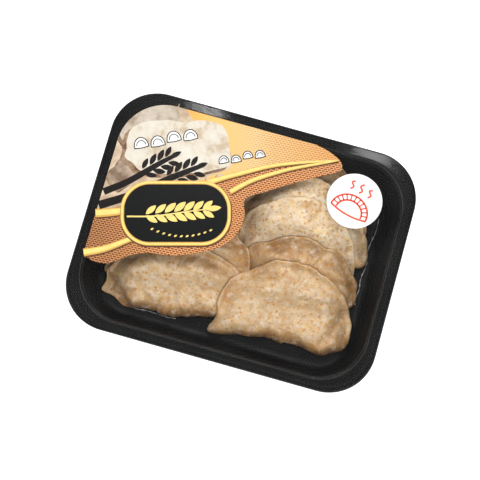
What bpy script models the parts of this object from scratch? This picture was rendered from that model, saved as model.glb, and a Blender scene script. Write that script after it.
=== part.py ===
"""A sealed tray of nine pierogi.

Nine half-moon dumplings of wholemeal dough lie shingled in two columns in a black
thermoformed tray. A clear film is sealed on the tray's flange, and a printed label
and a round sticker are stuck on the film.

The origin is the middle of the tray's underside. +X runs along the tray's long side,
-Y is its front edge and +Z is up. Blender's unit is the metre; the sizes below are
in millimetres, and every mesh is scaled by MM as it is made.
"""
import math

import bmesh
import bpy
import numpy as np

MM = 0.001
TOUCH_GAP = 0.3                 # clearance between pieces that touch

# The tray
TRAY_LENGTH = 227.0
TRAY_WIDTH = 178.0
TRAY_DEPTH = 40.0
WALL = 0.8
FLANGE_WIDTH = 8.0
OUTER_CORNER = 34.0
OPENING_CORNER = 35.0
SKIRT_DROP = 2.6                # how far the flange's rolled edge reaches down
LIP_ROUND = 0.7
DRAFT = 6.0                     # how much further in the wall stands at its foot
FOOT_CORNER = 29.0
FOOT_FILLET = 8.0
CORNER_STEPS = 8

# The film, the label and the sticker on it
FILM_INSET = 1.0
FILM_THICKNESS = 0.25
LABEL_THICKNESS = 0.2
LABEL_OVERLAP = 0.6             # how far the label reaches over the flange
STICKER_DIAMETER = 40.0
STICKER_CENTRE = (70.2, 49.2)

# The dumplings
RIM_WIDTH = 9.0                 # the flat sealed seam round the arc
RIM_THICKNESS = 3.4
RIM_ROUND = 1.7
BODY_THICKNESS = 14.0
BODY_SWELL = 0.6                # below 1, the body rises steeply from the seam
FOLD_THICKNESS = 9.0            # at the rounded fold, a few millimetres in
FOLD_ROUND = 6.0
FOLD_REACH = 20.0               # from the fold to the full thickness
HEART = 0.40                    # height of the middle point, as a share of the depth
CORNER_POWER = 9                # how sharply the arc meets the fold
DRAPE_REACH = 5                 # how far ahead the underside rises over what it lies on
DRAPE_BLUR = 4
LIE_GAP = 0.8                   # clearance under a dumpling
PRESSED = 0.30                  # share of its thickness that a dumpling loses under others
PRESS_BLUR = 7
SPHERE_SEGMENTS = 36
SPHERE_RINGS = 12
RING_BELLY = (0.0, 0.18, 0.45, 0.75, 1.0)       # the rings inside the seam

# One row for each dumpling, in the order in which they are laid in the tray:
# name, middle of the fold (x, y), turn in degrees, length, depth, fullness of the arc,
# and its local bulges as (direction in degrees, height, width in degrees).
DUMPLINGS = (
    ("pierogi_right_5", (44.0, 20.0), 1.0, 86.0, 55.0, 2.25, ()),
    ("pierogi_right_4", (41.0, 6.5), -1.0, 101.0, 51.0, 2.15,
     ((29, 4.0, 16), (65, -3.0, 12), (9, -2.5, 8), (333, 2.0, 5), (179, 6.0, 14))),
    ("pierogi_right_3", (40.0, -9.0), -5.0, 92.0, 53.5, 2.00,
     ((60, -4.5, 14), (100, -1.5, 20), (25, -0.5, 10), (170, 6.5, 15), (195, 2.0, 10))),
    ("pierogi_right_2", (51.0, -28.0), 5.0, 86.0, 45.0, 2.10,
     ((160, 9.0, 13), (134, 1.5, 9), (67, -3.5, 22), (8, 1.5, 9), (338, -3.0, 8),
      (190, 4.0, 14))),
    ("pierogi_left_4", (-50.0, 13.0), -2.0, 86.0, 56.0, 2.15, ((150, 2.0, 18),)),
    ("pierogi_left_3", (-46.0, -12.0), 3.0, 90.0, 54.0, 2.05, ((215, 2.5, 10),)),
    ("pierogi_left_2", (-37.5, -37.0), 12.0, 105.0, 56.0, 2.15,
     ((30, -1.5, 16), (4, 2.0, 6), (176, 3.0, 10), (196, 3.5, 6))),
    ("pierogi_left_1", (-37.5, -59.8), 9.0, 106.0, 48.0, 2.60,
     ((272, 4.0, 32), (312, 1.5, 12), (182, -1.5, 6), (190, 2.5, 5), (198, -9.5, 7),
      (18, 2.5, 9))),
    ("pierogi_right_1", (46.0, -60.0), 6.0, 103.0, 57.5, 2.15,
     ((165, 3.0, 16), (10, 2.0, 14), (58, -1.2, 16), (195, -3.0, 8), (204, 7.5, 7),
      (238, -2.0, 20), (320, 6.5, 12), (338, -3.0, 10))),
)


# ---- the scene ----

def clear_scene():
    for thing in list(bpy.data.objects):
        bpy.data.objects.remove(thing, do_unlink=True)


def new_collection(name):
    collection = bpy.data.collections.new(name)
    bpy.context.scene.collection.children.link(collection)
    return collection


def new_material(name, colour, roughness, metallic=0.0, alpha=1.0):
    material = bpy.data.materials.new(name)
    material.use_nodes = True
    shader = material.node_tree.nodes["Principled BSDF"]
    shader.inputs["Base Color"].default_value = (*colour, 1.0)
    shader.inputs["Roughness"].default_value = roughness
    shader.inputs["Metallic"].default_value = metallic
    shader.inputs["Alpha"].default_value = alpha
    return material


def place(thing, material, collection):
    thing.data.materials.append(material)
    collection.objects.link(thing)
    return thing


def mesh_object(name, form):
    bmesh.ops.recalc_face_normals(form, faces=form.faces)
    mesh = bpy.data.meshes.new(name)
    form.to_mesh(mesh)
    form.free()
    mesh.shade_smooth()
    mesh.set_sharp_from_angle(angle=math.radians(50))
    return bpy.data.objects.new(name, mesh)


# ---- rounded rectangles ----

def rounded_rectangle(half_length, half_width, corner, steps=CORNER_STEPS):
    """Points round a rounded rectangle, anticlockwise from the right side's front."""
    points = []
    for quarter, (side_x, side_y) in enumerate(((1, -1), (1, 1), (-1, 1), (-1, -1))):
        centre_x = side_x * (half_length - corner)
        centre_y = side_y * (half_width - corner)
        for step in range(steps + 1):
            angle = math.radians(90 * (quarter - 1 + step / steps))
            points.append((centre_x + corner * math.cos(angle),
                           centre_y + corner * math.sin(angle)))
    return points


def depth_inside(x, y, half_length, half_width, corner):
    """How far a point is inside a rounded rectangle."""
    across = np.abs(x) - (half_length - corner)
    along = np.abs(y) - (half_width - corner)
    outside = np.hypot(np.maximum(across, 0), np.maximum(along, 0))
    return corner - outside - np.minimum(np.maximum(across, along), 0)


# ---- the tray ----

OPENING = (TRAY_LENGTH / 2 - FLANGE_WIDTH, TRAY_WIDTH / 2 - FLANGE_WIDTH)
FOOT = (OPENING[0] - DRAFT, OPENING[1] - DRAFT)
FLOOR_TOP = WALL


def tray_rings():
    """The tray's upper surface from the skirt over the flange and down to the floor."""
    half = (TRAY_LENGTH / 2, TRAY_WIDTH / 2)
    rings = [
        (half[0], half[1], OUTER_CORNER, TRAY_DEPTH - SKIRT_DROP),
        (half[0], half[1], OUTER_CORNER, TRAY_DEPTH - LIP_ROUND),
        (half[0] - LIP_ROUND, half[1] - LIP_ROUND, OUTER_CORNER - LIP_ROUND, TRAY_DEPTH),
        (OPENING[0] + LIP_ROUND, OPENING[1] + LIP_ROUND, OPENING_CORNER + LIP_ROUND, TRAY_DEPTH),
        (OPENING[0], OPENING[1], OPENING_CORNER, TRAY_DEPTH - LIP_ROUND),
    ]
    for step in range(4):
        angle = math.radians(90 * step / 3)
        inward = FOOT_FILLET * (1 - math.cos(angle))
        height = FLOOR_TOP + FOOT_FILLET * (1 - math.sin(angle))
        rings.append((FOOT[0] - inward, FOOT[1] - inward, FOOT_CORNER - inward, height))
    return rings


def floor_height(x, y):
    """Height of the tray's inner surface, with the fillet at the foot of the wall."""
    inside = depth_inside(x, y, FOOT[0], FOOT[1], FOOT_CORNER)
    run = np.clip(FOOT_FILLET - inside, 0, FOOT_FILLET)
    return FLOOR_TOP + FOOT_FILLET - np.sqrt(FOOT_FILLET ** 2 - run ** 2)


def make_tray(collection):
    form = bmesh.new()
    loops = []
    for half_length, half_width, corner, height in tray_rings():
        outline = rounded_rectangle(half_length, half_width, corner)
        loops.append([form.verts.new((x * MM, y * MM, height * MM)) for x, y in outline])
    for upper, lower in zip(loops, loops[1:]):
        for i in range(len(upper)):
            j = (i + 1) % len(upper)
            form.faces.new((upper[i], upper[j], lower[j], lower[i]))
    form.faces.new(loops[-1])
    tray = mesh_object("tray", form)
    if tray.data.polygons[-1].normal.z < 0:
        tray.data.flip_normals()
    shell = tray.modifiers.new("wall", "SOLIDIFY")
    shell.thickness = WALL * MM
    shell.offset = -1.0
    shell.use_even_offset = True
    black = new_material("black_plastic", (0.012, 0.012, 0.013), 0.35)
    return place(tray, black, collection)


# ---- the film, the label and the sticker ----

def flat_sheet(name, outline, bottom, thickness, material, collection):
    """A flat piece from a closed outline, as a filled curve with an extrusion."""
    curve = bpy.data.curves.new(name, "CURVE")
    curve.dimensions = "2D"
    curve.fill_mode = "BOTH"
    curve.extrude = thickness / 2 * MM
    spline = curve.splines.new("POLY")
    spline.points.add(len(outline) - 1)
    for point, (x, y) in zip(spline.points, outline):
        point.co = (x * MM, y * MM, 0.0, 1.0)
    spline.use_cyclic_u = True
    sheet = bpy.data.objects.new(name, curve)
    sheet.location.z = (bottom + thickness / 2) * MM
    return place(sheet, material, collection)


def smooth_through(points, steps):
    """A smooth open line through a few points (Catmull-Rom)."""
    first = 2 * np.array(points[0]) - points[1]
    last = 2 * np.array(points[-1]) - points[-2]
    line = np.array([first, *points, last], dtype=float)
    smooth = []
    for a, b, c, d in zip(line, line[1:], line[2:], line[3:]):
        for t in np.arange(steps) / steps:
            smooth.append(0.5 * (2 * b + (c - a) * t + (2 * a - 5 * b + 4 * c - d) * t ** 2
                                 + (3 * b - a - 3 * c + d) * t ** 3))
    smooth.append(line[-2])
    return [tuple(point) for point in smooth]


def label_outline():
    """The flange's edge at the back and left, and a lobed edge towards the food."""
    half_length = OPENING[0] + LABEL_OVERLAP
    half_width = OPENING[1] + LABEL_OVERLAP
    corner = OPENING_CORNER
    start = len(rounded_rectangle(half_length, half_width, corner)) // 2
    back_left = rounded_rectangle(half_length, half_width, corner)[start:start + CORNER_STEPS + 1]
    lobes = ((-half_length, -41.0), (-96.0, -43.4), (-86.0, -41.3), (-75.0, -33.0),
             (-62.0, -27.0), (-45.0, -24.2), (-28.0, -17.5), (-13.0, -8.5), (-4.6, 3.5),
             (-2.6, 17.0), (-5.6, 29.3), (9.0, 39.8), (31.0, 54.0), (52.5, 66.2),
             (55.3, 70.5), (52.0, 75.3), (43.0, 79.4), (33.0, half_width))
    return back_left + smooth_through(lobes, 3)


def make_film(collection):
    outline = rounded_rectangle(TRAY_LENGTH / 2 - FILM_INSET, TRAY_WIDTH / 2 - FILM_INSET,
                                OUTER_CORNER - FILM_INSET)
    clear = new_material("clear_film", (0.9, 0.9, 0.9), 0.05, alpha=0.15)
    bottom = TRAY_DEPTH + TOUCH_GAP
    return flat_sheet("film", outline, bottom, FILM_THICKNESS, clear, collection)


def make_label(collection):
    bottom = TRAY_DEPTH + FILM_THICKNESS + 2 * TOUCH_GAP
    printed = new_material("printed_label", (0.55, 0.28, 0.13), 0.45)
    return flat_sheet("label", label_outline(), bottom, LABEL_THICKNESS, printed, collection)


def make_sticker(collection):
    bottom = TRAY_DEPTH + FILM_THICKNESS + 2 * TOUCH_GAP
    bpy.ops.mesh.primitive_cylinder_add(vertices=48, radius=STICKER_DIAMETER / 2 * MM,
                                        depth=LABEL_THICKNESS * MM)
    sticker = bpy.context.object
    sticker.name = "sticker"
    sticker.location = (STICKER_CENTRE[0] * MM, STICKER_CENTRE[1] * MM,
                        (bottom + LABEL_THICKNESS / 2) * MM)
    sticker.users_collection[0].objects.unlink(sticker)
    white = new_material("white_paper", (0.95, 0.95, 0.95), 0.4)
    return place(sticker, white, collection)


# ---- the dumplings ----

def edge_radius(angle, length, depth, fullness, bulges):
    """Distance from the heart of a half moon to its edge, in a given direction."""
    turn = np.linspace(0, 2 * math.pi, 720, endpoint=False)
    cosine = np.cos(turn)
    sine = np.sin(turn)
    oval_x = length / 2 * np.sign(cosine) * np.abs(cosine) ** (2 / fullness)
    oval_y = depth * np.sign(sine) * np.abs(sine) ** (2 / fullness) - HEART * depth
    direction = np.arctan2(oval_y, oval_x)
    order = np.argsort(direction)
    arc = np.interp(angle, direction[order], np.hypot(oval_x, oval_y)[order],
                    period=2 * math.pi)
    fold = HEART * depth / np.maximum(-np.sin(angle), 0.02)
    radius = (arc ** -CORNER_POWER + fold ** -CORNER_POWER) ** (-1 / CORNER_POWER)
    for towards, height, width in bulges:
        away = np.mod(angle - math.radians(towards) + math.pi, 2 * math.pi) - math.pi
        radius = radius + height * np.exp(-(away / math.radians(width)) ** 2)
    return radius


def ring_share(height, radius):
    """Where the rings of a ball lie on a dumpling: close at its edge and seam, then wider."""
    latitude = np.abs(np.arcsin(np.clip(height, -1, 1)))
    step = latitude / (math.pi / SPHERE_RINGS)
    rest = radius - RIM_WIDTH
    inward = np.zeros_like(radius)
    for i in range(len(RING_BELLY) - 1):
        low, high = RING_BELLY[i], RING_BELLY[i + 1]
        there = (step >= 2 + i) & (step <= 3 + i)
        belly = low + (high - low) * (step - 2 - i)
        inward = np.where(there, RIM_WIDTH + rest * belly, inward)
    at_edge = np.interp(step, (0, 1, 2), (0, RIM_ROUND, RIM_WIDTH))
    return 1 - np.where(step < 2, at_edge, inward) / radius


def quarter_round(distance, width):
    """Rises from 0 at the edge to 1 at the given width, like a quarter circle."""
    share = np.clip(distance / width, 0, 1)
    return np.sqrt(1 - (1 - share) ** 2)


def thickness(share, angle, radius, body):
    """Underside and top of a dumpling above the surface it lies on."""
    inward = (1 - share) * radius
    seam = 0.5 + 0.5 * np.tanh((np.sin(angle) + 0.30) / 0.14)
    edge = seam * RIM_THICKNESS / 2 + (1 - seam) * 0.45 * FOLD_THICKNESS
    belly = np.clip((inward - RIM_WIDTH) / np.maximum(radius - RIM_WIDTH, 1), 0, 1)
    dome = (1 - (1 - belly) ** 2) ** BODY_SWELL
    over_seam = (RIM_THICKNESS / 2 * quarter_round(inward, RIM_ROUND)
                 + (body - RIM_THICKNESS) * dome)
    over_fold = (body - 0.45 * FOLD_THICKNESS) * quarter_round(inward, FOLD_REACH)
    top = edge + seam * over_seam + (1 - seam) * over_fold
    under_seam = RIM_THICKNESS / 2 * (1 - quarter_round(inward, RIM_ROUND))
    under_fold = 0.45 * FOLD_THICKNESS * (1 - quarter_round(inward, FOLD_ROUND))
    under = seam * under_seam + (1 - seam) * under_fold
    return under, top


def disc_offsets(reach):
    steps = range(-reach, reach + 1)
    return [(i, j) for i in steps for j in steps if i * i + j * j <= reach * reach]


def shifted(field, i, j):
    return np.roll(np.roll(field, i, axis=0), j, axis=1)


def blurred(field, reach):
    return np.mean([shifted(field, i, j) for i, j in disc_offsets(reach)], axis=0)


def draped(obstacle):
    """The underside of soft dough on a pile: never below it, and smooth over its edges."""
    raised = np.max([shifted(obstacle, i, j) for i, j in disc_offsets(DRAPE_REACH)], axis=0)
    return blurred(raised, DRAPE_BLUR)


class Pile:
    """The height of everything laid in the tray so far, on a grid of 1 mm cells."""

    def __init__(self):
        self.x = np.arange(-120, 121)
        self.y = np.arange(-100, 101)
        self.grid_x, self.grid_y = np.meshgrid(self.x, self.y, indexing="ij")
        self.height = floor_height(self.grid_x, self.grid_y)

    def base_under(self, inside):
        return draped(np.where(inside, self.height, FLOOR_TOP)) + LIE_GAP

    def read(self, field, x, y):
        column = np.clip(x - self.x[0], 0, len(self.x) - 1.001)
        row = np.clip(y - self.y[0], 0, len(self.y) - 1.001)
        i = column.astype(int)
        j = row.astype(int)
        s = column - i
        t = row - j
        return ((1 - s) * (1 - t) * field[i, j] + s * (1 - t) * field[i + 1, j]
                + (1 - s) * t * field[i, j + 1] + s * t * field[i + 1, j + 1])


def polar(row, x, y):
    """Direction, edge distance and share of it for points of the tray, from the heart."""
    (middle_x, middle_y), turn, length, depth, fullness, bulges = row[1:]
    cosine = math.cos(math.radians(turn))
    sine = math.sin(math.radians(turn))
    local_x = cosine * (x - middle_x) + sine * (y - middle_y)
    local_y = cosine * (y - middle_y) - sine * (x - middle_x) - HEART * depth
    angle = np.arctan2(local_y, local_x)
    radius = edge_radius(angle, length, depth, fullness, bulges)
    return angle, radius, np.hypot(local_x, local_y) / radius


def make_dumpling(row, later_rows, pile, dough, collection):
    name, (middle_x, middle_y), turn, length, depth, fullness, bulges = row
    cosine = math.cos(math.radians(turn))
    sine = math.sin(math.radians(turn))

    angle, radius, share = polar(row, pile.grid_x, pile.grid_y)
    covered = np.zeros_like(pile.height)
    for later in later_rows:
        covered = np.maximum(covered, polar(later, pile.grid_x, pile.grid_y)[2] < 1)
    body_field = BODY_THICKNESS * (1 - PRESSED * blurred(covered, PRESS_BLUR))
    base = pile.base_under(share < 1.03)
    top = base + thickness(np.minimum(share, 1), angle, radius, body_field)[1]
    pile.height = np.where(share < 1, np.maximum(pile.height, top), pile.height)

    form = bmesh.new()
    bmesh.ops.create_uvsphere(form, u_segments=SPHERE_SEGMENTS, v_segments=SPHERE_RINGS, radius=1)
    ball = np.array([vertex.co for vertex in form.verts])
    angle = np.arctan2(ball[:, 1], ball[:, 0])
    radius = edge_radius(angle, length, depth, fullness, bulges)
    share = np.clip(ring_share(ball[:, 2], radius), 0, 1)
    local_x = share * radius * np.cos(angle)
    local_y = share * radius * np.sin(angle) + HEART * depth
    x = middle_x + cosine * local_x - sine * local_y
    y = middle_y + sine * local_x + cosine * local_y
    under, top = thickness(share, angle, radius, pile.read(body_field, x, y))
    z = pile.read(base, x, y) + np.where(ball[:, 2] > 0, top, under)
    for vertex, point in zip(form.verts, np.stack([x, y, z], axis=1) * MM):
        vertex.co = point
    return place(mesh_object(name, form), dough, collection)


def main():
    clear_scene()
    collection = new_collection("pierogi_tray")
    make_tray(collection)
    make_film(collection)
    make_label(collection)
    make_sticker(collection)
    dough = new_material("wholemeal_dough", (0.62, 0.42, 0.25), 0.5)
    pile = Pile()
    for i, row in enumerate(DUMPLINGS):
        make_dumpling(row, DUMPLINGS[i + 1:], pile, dough, collection)
    print("highest dumpling", round(float(pile.height[20:-20, 30:-30].max()), 1), "mm")


main()
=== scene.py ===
# %% [markdown]
# # A sealed tray of pierogi
#
# Nine half-moon dumplings of wholemeal dough lie shingled in two columns in a black
# plastic tray. A clear film closes the tray, and a printed label and a round sticker
# are stuck on the film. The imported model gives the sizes; this lesson gives each
# piece the finer shape and the finish of the real one. Lengths are in millimetres
# and are scaled by MM where a mesh is made, because Blender's unit is the metre.

import math

import bmesh
import bpy
import numpy as np
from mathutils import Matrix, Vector


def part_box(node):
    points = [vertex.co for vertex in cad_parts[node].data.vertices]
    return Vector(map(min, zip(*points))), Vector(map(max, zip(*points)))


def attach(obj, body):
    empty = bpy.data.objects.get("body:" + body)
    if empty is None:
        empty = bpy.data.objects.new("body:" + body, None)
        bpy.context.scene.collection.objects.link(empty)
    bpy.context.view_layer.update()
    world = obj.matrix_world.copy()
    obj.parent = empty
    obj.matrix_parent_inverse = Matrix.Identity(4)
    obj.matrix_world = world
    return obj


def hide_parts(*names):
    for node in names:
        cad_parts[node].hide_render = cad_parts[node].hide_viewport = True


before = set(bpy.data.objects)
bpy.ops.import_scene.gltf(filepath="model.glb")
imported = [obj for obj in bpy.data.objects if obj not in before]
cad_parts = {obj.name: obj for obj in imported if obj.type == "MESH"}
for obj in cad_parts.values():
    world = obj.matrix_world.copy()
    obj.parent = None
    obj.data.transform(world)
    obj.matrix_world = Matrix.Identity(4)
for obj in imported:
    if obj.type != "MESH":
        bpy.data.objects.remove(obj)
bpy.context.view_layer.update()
MM = 0.001
tray_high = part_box("tray")[1] / MM
RIM = tray_high.z
print("nodes:", ", ".join(sorted(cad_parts)))
print("the rim is", round(RIM, 1), "mm above the table")

# %% [markdown]
# ## The camera
# The tray lies flat and the camera looks almost straight down on it, a little from
# the front and turned to the right. A long lens of 105 mm at one metre keeps the
# tray's sides nearly parallel, as in a product picture.

# %% The camera
CAMERA_TURN = math.radians(15.73)
CAMERA_HEIGHT = math.radians(80.98)
CAMERA_DISTANCE = 1.001
CAMERA_LENS = 105.0

camera = bpy.data.objects.new("camera", bpy.data.cameras.new("camera"))
bpy.context.scene.collection.objects.link(camera)
bpy.context.scene.camera = camera
towards_camera = Vector((math.sin(CAMERA_TURN) * math.cos(CAMERA_HEIGHT),
                         -math.cos(CAMERA_TURN) * math.cos(CAMERA_HEIGHT),
                         math.sin(CAMERA_HEIGHT)))
target = Vector((-1.23, -0.16, RIM)) * MM
camera.location = target + CAMERA_DISTANCE * towards_camera
camera.rotation_euler = towards_camera.to_track_quat("Z", "Y").to_euler()
camera.data.lens = CAMERA_LENS
camera.data.clip_start = 0.01
print("camera at", [round(value, 3) for value in camera.location])

# %% [markdown]
# ## The floor and the light
# The ground is a plain white table that glows a little, so that only a trace of
# shadow is left. A broad softbox behind the tray models the dough, weaker ones stand
# at the sides, and a pale world fills the shade. Softboxes are used rather than
# point lights because plastic and moist dough mirror their shape.

# %% The floor
FLOOR_SIZE = 6.0
UNDER_TRAY = -0.0002            # a hair below zero, so that floor and tray don't share a face

bpy.ops.mesh.primitive_plane_add(size=FLOOR_SIZE, location=(0, 0, UNDER_TRAY))
floor = bpy.context.object
floor.name = "floor"
floor_paint = bpy.data.materials.new("white_table")
floor_paint.use_nodes = True
floor_shader = floor_paint.node_tree.nodes["Principled BSDF"]
floor_shader.inputs["Base Color"].default_value = (0.9, 0.9, 0.9, 1)
floor_shader.inputs["Roughness"].default_value = 0.9
floor_shader.inputs["Emission Color"].default_value = (1, 1, 1, 1)
floor_shader.inputs["Emission Strength"].default_value = 0.6
floor.data.materials.append(floor_paint)

world = bpy.data.worlds.new("studio")
bpy.context.scene.world = world
world.use_nodes = True
world.node_tree.nodes["Background"].inputs["Color"].default_value = (1.0, 1.0, 1.0, 1)
world.node_tree.nodes["Background"].inputs["Strength"].default_value = 0.48
bpy.context.scene.view_settings.view_transform = "Standard"
print("floor and pale world ready")


# %% Softboxes
def softbox(name, size, place, aim, power):
    """A rectangular area light that faces a point."""
    light = bpy.data.lights.new(name, "AREA")
    light.shape = "RECTANGLE"
    light.size, light.size_y = size
    light.energy = power
    lamp = bpy.data.objects.new(name, light)
    lamp.location = place
    lamp.rotation_euler = (Vector(place) - Vector(aim)).to_track_quat("Z", "Y").to_euler()
    bpy.context.scene.collection.objects.link(lamp)


MIDDLE = (0.0, 0.0, 0.03)
LIGHT_REACH = 1.25
# name, heading and lean from upright in degrees, size in metres, power in watts
SOFTBOXES = (
    ("light_back", 95, 36, (0.9, 0.6), 5.4),
    ("light_left", 185, 34, (0.6, 0.7), 3.4),
    ("light_right", 350, 34, (0.6, 0.7), 3.8),
    ("light_front", 290, 28, (0.8, 0.5), 4.4),
)
for name, heading, lean, size, power in SOFTBOXES:
    flat = LIGHT_REACH * math.sin(math.radians(lean))
    place = (flat * math.cos(math.radians(heading)), flat * math.sin(math.radians(heading)),
             LIGHT_REACH * math.cos(math.radians(lean)))
    softbox(name, size, place, MIDDLE, power)
print(len(SOFTBOXES), "softboxes")

# %% Two small strips
# their mirror images lie on the back of the flange
STRIPS = (("strip_back", (0.046, 0.034), (-0.142, 0.324, 1.04), 0.19),
          ("strip_corner", (0.046, 0.034), (0.109, 0.324, 1.04), 0.19))
for name, size, place, power in STRIPS:
    softbox(name, size, place, (place[0] * 0.3, 0.08, 0.04), power)
print(len(STRIPS), "strips")

# %% [markdown]
# ## Small helpers for materials
# Every finish here is a node recipe. `add_node` makes one node and wires or sets its
# inputs in one call, `blend_colours` mixes two colours and `ramp` turns a number into
# a colour, so that a recipe reads from top to bottom.

# %% Making a recipe
def new_recipe(name, **sockets):
    """A material with one Principled shader; returns it, its tree and the shader."""
    material = bpy.data.materials.new(name)
    material.use_nodes = True
    shader = material.node_tree.nodes["Principled BSDF"]
    for socket, value in sockets.items():
        shader.inputs[socket.replace("_", " ")].default_value = value
    return material, material.node_tree, shader


def add_node(tree, kind, inputs=(), **settings):
    """One shader node; an input is either another node's output or a value."""
    node = tree.nodes.new("ShaderNode" + kind)
    for name, value in settings.items():
        setattr(node, name, value)
    for name, value in dict(inputs).items():
        if isinstance(value, bpy.types.NodeSocket):
            tree.links.new(value, node.inputs[name])
        else:
            node.inputs[name].default_value = value
    return node


print("recipes can be made")


# %% Colours and noise
def blend_colours(tree, share, first, second, way="MIX"):
    """A share of the second colour over the first, or another way to combine them."""
    inputs = {"Fac": share, "Color1": first, "Color2": second}
    colours = {name: (*value, 1) if isinstance(value, tuple) else value
               for name, value in inputs.items()}
    return add_node(tree, "MixRGB", colours, blend_type=way).outputs["Color"]


def ramp(tree, share, *stops):
    """Colours or greys along a number: each stop is (position, colour or grey)."""
    node = add_node(tree, "ValToRGB", {"Fac": share})
    elements = node.color_ramp.elements
    for position, _ in stops[1:-1]:
        elements.new(position)
    for element, (position, colour) in zip(elements, (stops[0], *stops[1:-1], stops[-1])):
        element.position = position
        element.color = (*colour, 1) if isinstance(colour, tuple) else (colour,) * 3 + (1,)
    return node.outputs["Color"]


def noise(tree, place, size, detail=2.0, roughness=0.5):
    """Soft noise whose patches are about so many millimetres wide."""
    node = add_node(tree, "TexNoise", {"Vector": place, "Scale": 1 / (size * MM),
                                       "Detail": detail, "Roughness": roughness})
    return node.outputs["Fac"]


def object_place(tree):
    """Where a point is on its object, in metres."""
    return add_node(tree, "TexCoord").outputs["Object"]


print("material helpers ready")

# %% [markdown]
# ## Small helpers for meshes
# `loft` skins a stack of closed outlines with the same number of points, which is how
# a thermoformed tray, a film or a sticker is best made: each ring is one line of the
# real profile. `finish_piece` gives a mesh its material and its place on the body,
# and hides the imported solid it stands for.

# %% Lofts and pieces
def loft(rings):
    """A skin over closed outlines of (x, y, z) points in millimetres."""
    form = bmesh.new()
    loops = [[form.verts.new(Vector(point) * MM) for point in ring] for ring in rings]
    for upper, lower in zip(loops, loops[1:]):
        for i in range(len(upper)):
            j = (i + 1) % len(upper)
            form.faces.new((upper[i], upper[j], lower[j], lower[i]))
    form.faces.new(loops[-1])
    return form


def mesh_from(name, form, sharp):
    """A smooth-shaded object; edges bent by more than `sharp` degrees stay sharp."""
    bmesh.ops.recalc_face_normals(form, faces=form.faces)
    mesh = bpy.data.meshes.new(name)
    form.to_mesh(mesh)
    form.free()
    mesh.shade_smooth()
    mesh.set_sharp_from_angle(angle=math.radians(sharp))
    thing = bpy.data.objects.new(name, mesh)
    bpy.context.scene.collection.objects.link(thing)
    return thing


def finish_piece(thing, material, slot, *nodes):
    """Gives a piece its finish and its body, and hides the solids it stands for."""
    thing.data.materials.clear()
    thing.data.materials.append(material)
    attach(thing, "root")
    if nodes:
        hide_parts(*nodes)
    return thing


print("pieces can be made")


# %% A rounded rectangle
def rounded_rectangle(half_length, half_width, corner, steps=20):
    """Points round a rounded rectangle, anticlockwise from the right side's front."""
    points = []
    for quarter, (side_x, side_y) in enumerate(((1, -1), (1, 1), (-1, 1), (-1, -1))):
        centre_x = side_x * (half_length - corner)
        centre_y = side_y * (half_width - corner)
        for step in range(steps + 1):
            angle = math.radians(90 * (quarter - 1 + step / steps))
            points.append((centre_x + corner * math.cos(angle),
                           centre_y + corner * math.sin(angle)))
    return points


print("rounded rectangles can be drawn")

# %% [markdown]
# ## The black tray
# The tray is one sheet of black plastic, drawn into a mould while hot. Its flange
# carries the film's seal, its rolled edge stiffens it, and its wall slopes in to a
# filleted foot so that empty trays nest. It could be carved from a box with bevels,
# but lofting its profile round a rounded rectangle gives every ledge at once.

# %% The tray's measures
FLANGE_WIDTH = 8.0
OUTER_CORNER = 34.0
OPENING_CORNER = 35.0
WALL = 0.8
SKIRT_DROP = 2.6
LIP_ROUND = 1.1
INNER_ROUND = 1.3
DRAFT = 6.0
FOOT_CORNER = 29.0
FOOT_FILLET = 8.0
FLAT_RINGS = (6.7, 5.0, 3.3, 1.6)       # rings on the flat of the flange
LEDGE = 0.9                     # the small step under the flange's inner edge
STEP = ((0.0, 1.8), (-0.25, 2.3), (-LEDGE, 2.5), (-LEDGE - 0.2, 3.0))   # out, and down
FLOOR_RINGS = (1.0, 3.0, 12.0)  # further in than the fillet, so that the floor shades evenly
OUTER = (tray_high.x, tray_high.y)
OPENING = (OUTER[0] - FLANGE_WIDTH, OUTER[1] - FLANGE_WIDTH)
FOOT = (OPENING[0] - DRAFT, OPENING[1] - DRAFT)


print("the opening is", 2 * OPENING[0], "by", 2 * OPENING[1], "mm")


# %% The tray's profile
def flange_ring(out, height):
    """A ring of the flange: out is 0 at the opening and FLANGE_WIDTH at the edge."""
    share = out / FLANGE_WIDTH
    corner = OPENING_CORNER + share * (OUTER_CORNER - OPENING_CORNER)
    return OPENING[0] + out, OPENING[1] + out, corner, height


def tray_profile():
    """The tray's upper side as (half length, half width, corner, height) rows."""
    rows = [flange_ring(FLANGE_WIDTH, RIM - SKIRT_DROP),
            flange_ring(FLANGE_WIDTH, RIM - SKIRT_DROP / 2)]
    for angle in np.radians((0, 20, 40, 60, 75, 90)):
        rows.append(flange_ring(FLANGE_WIDTH - LIP_ROUND * (1 - math.cos(angle)),
                                RIM - LIP_ROUND * (1 - math.sin(angle))))
    for out in FLAT_RINGS:
        rows.append(flange_ring(out, RIM))
    for angle in np.radians((90, 75, 60, 40, 20, 0)):
        rows.append(flange_ring(INNER_ROUND * (1 - math.cos(angle)),
                                RIM - INNER_ROUND * (1 - math.sin(angle))))
    rows += [flange_ring(out, RIM - drop) for out, drop in STEP]
    top = RIM - STEP[-1][1]
    bottom = WALL + FOOT_FILLET
    for share in (0.25, 0.5, 0.75, 1.0):
        inward = -STEP[-1][0] * (1 - share) + DRAFT * share
        corner = OPENING_CORNER - inward * (OPENING_CORNER - FOOT_CORNER) / DRAFT
        rows.append((OPENING[0] - inward, OPENING[1] - inward, corner,
                     top + (bottom - top) * share))
    for angle in np.radians((15, 30, 45, 60, 75, 90)):
        inward = FOOT_FILLET * (1 - math.cos(angle))
        rows.append((FOOT[0] - inward, FOOT[1] - inward, FOOT_CORNER - inward,
                     WALL + FOOT_FILLET * (1 - math.sin(angle))))
    for further in FLOOR_RINGS:
        inward = FOOT_FILLET + further
        rows.append((FOOT[0] - inward, FOOT[1] - inward, FOOT_CORNER - inward, WALL))
    return rows


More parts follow.
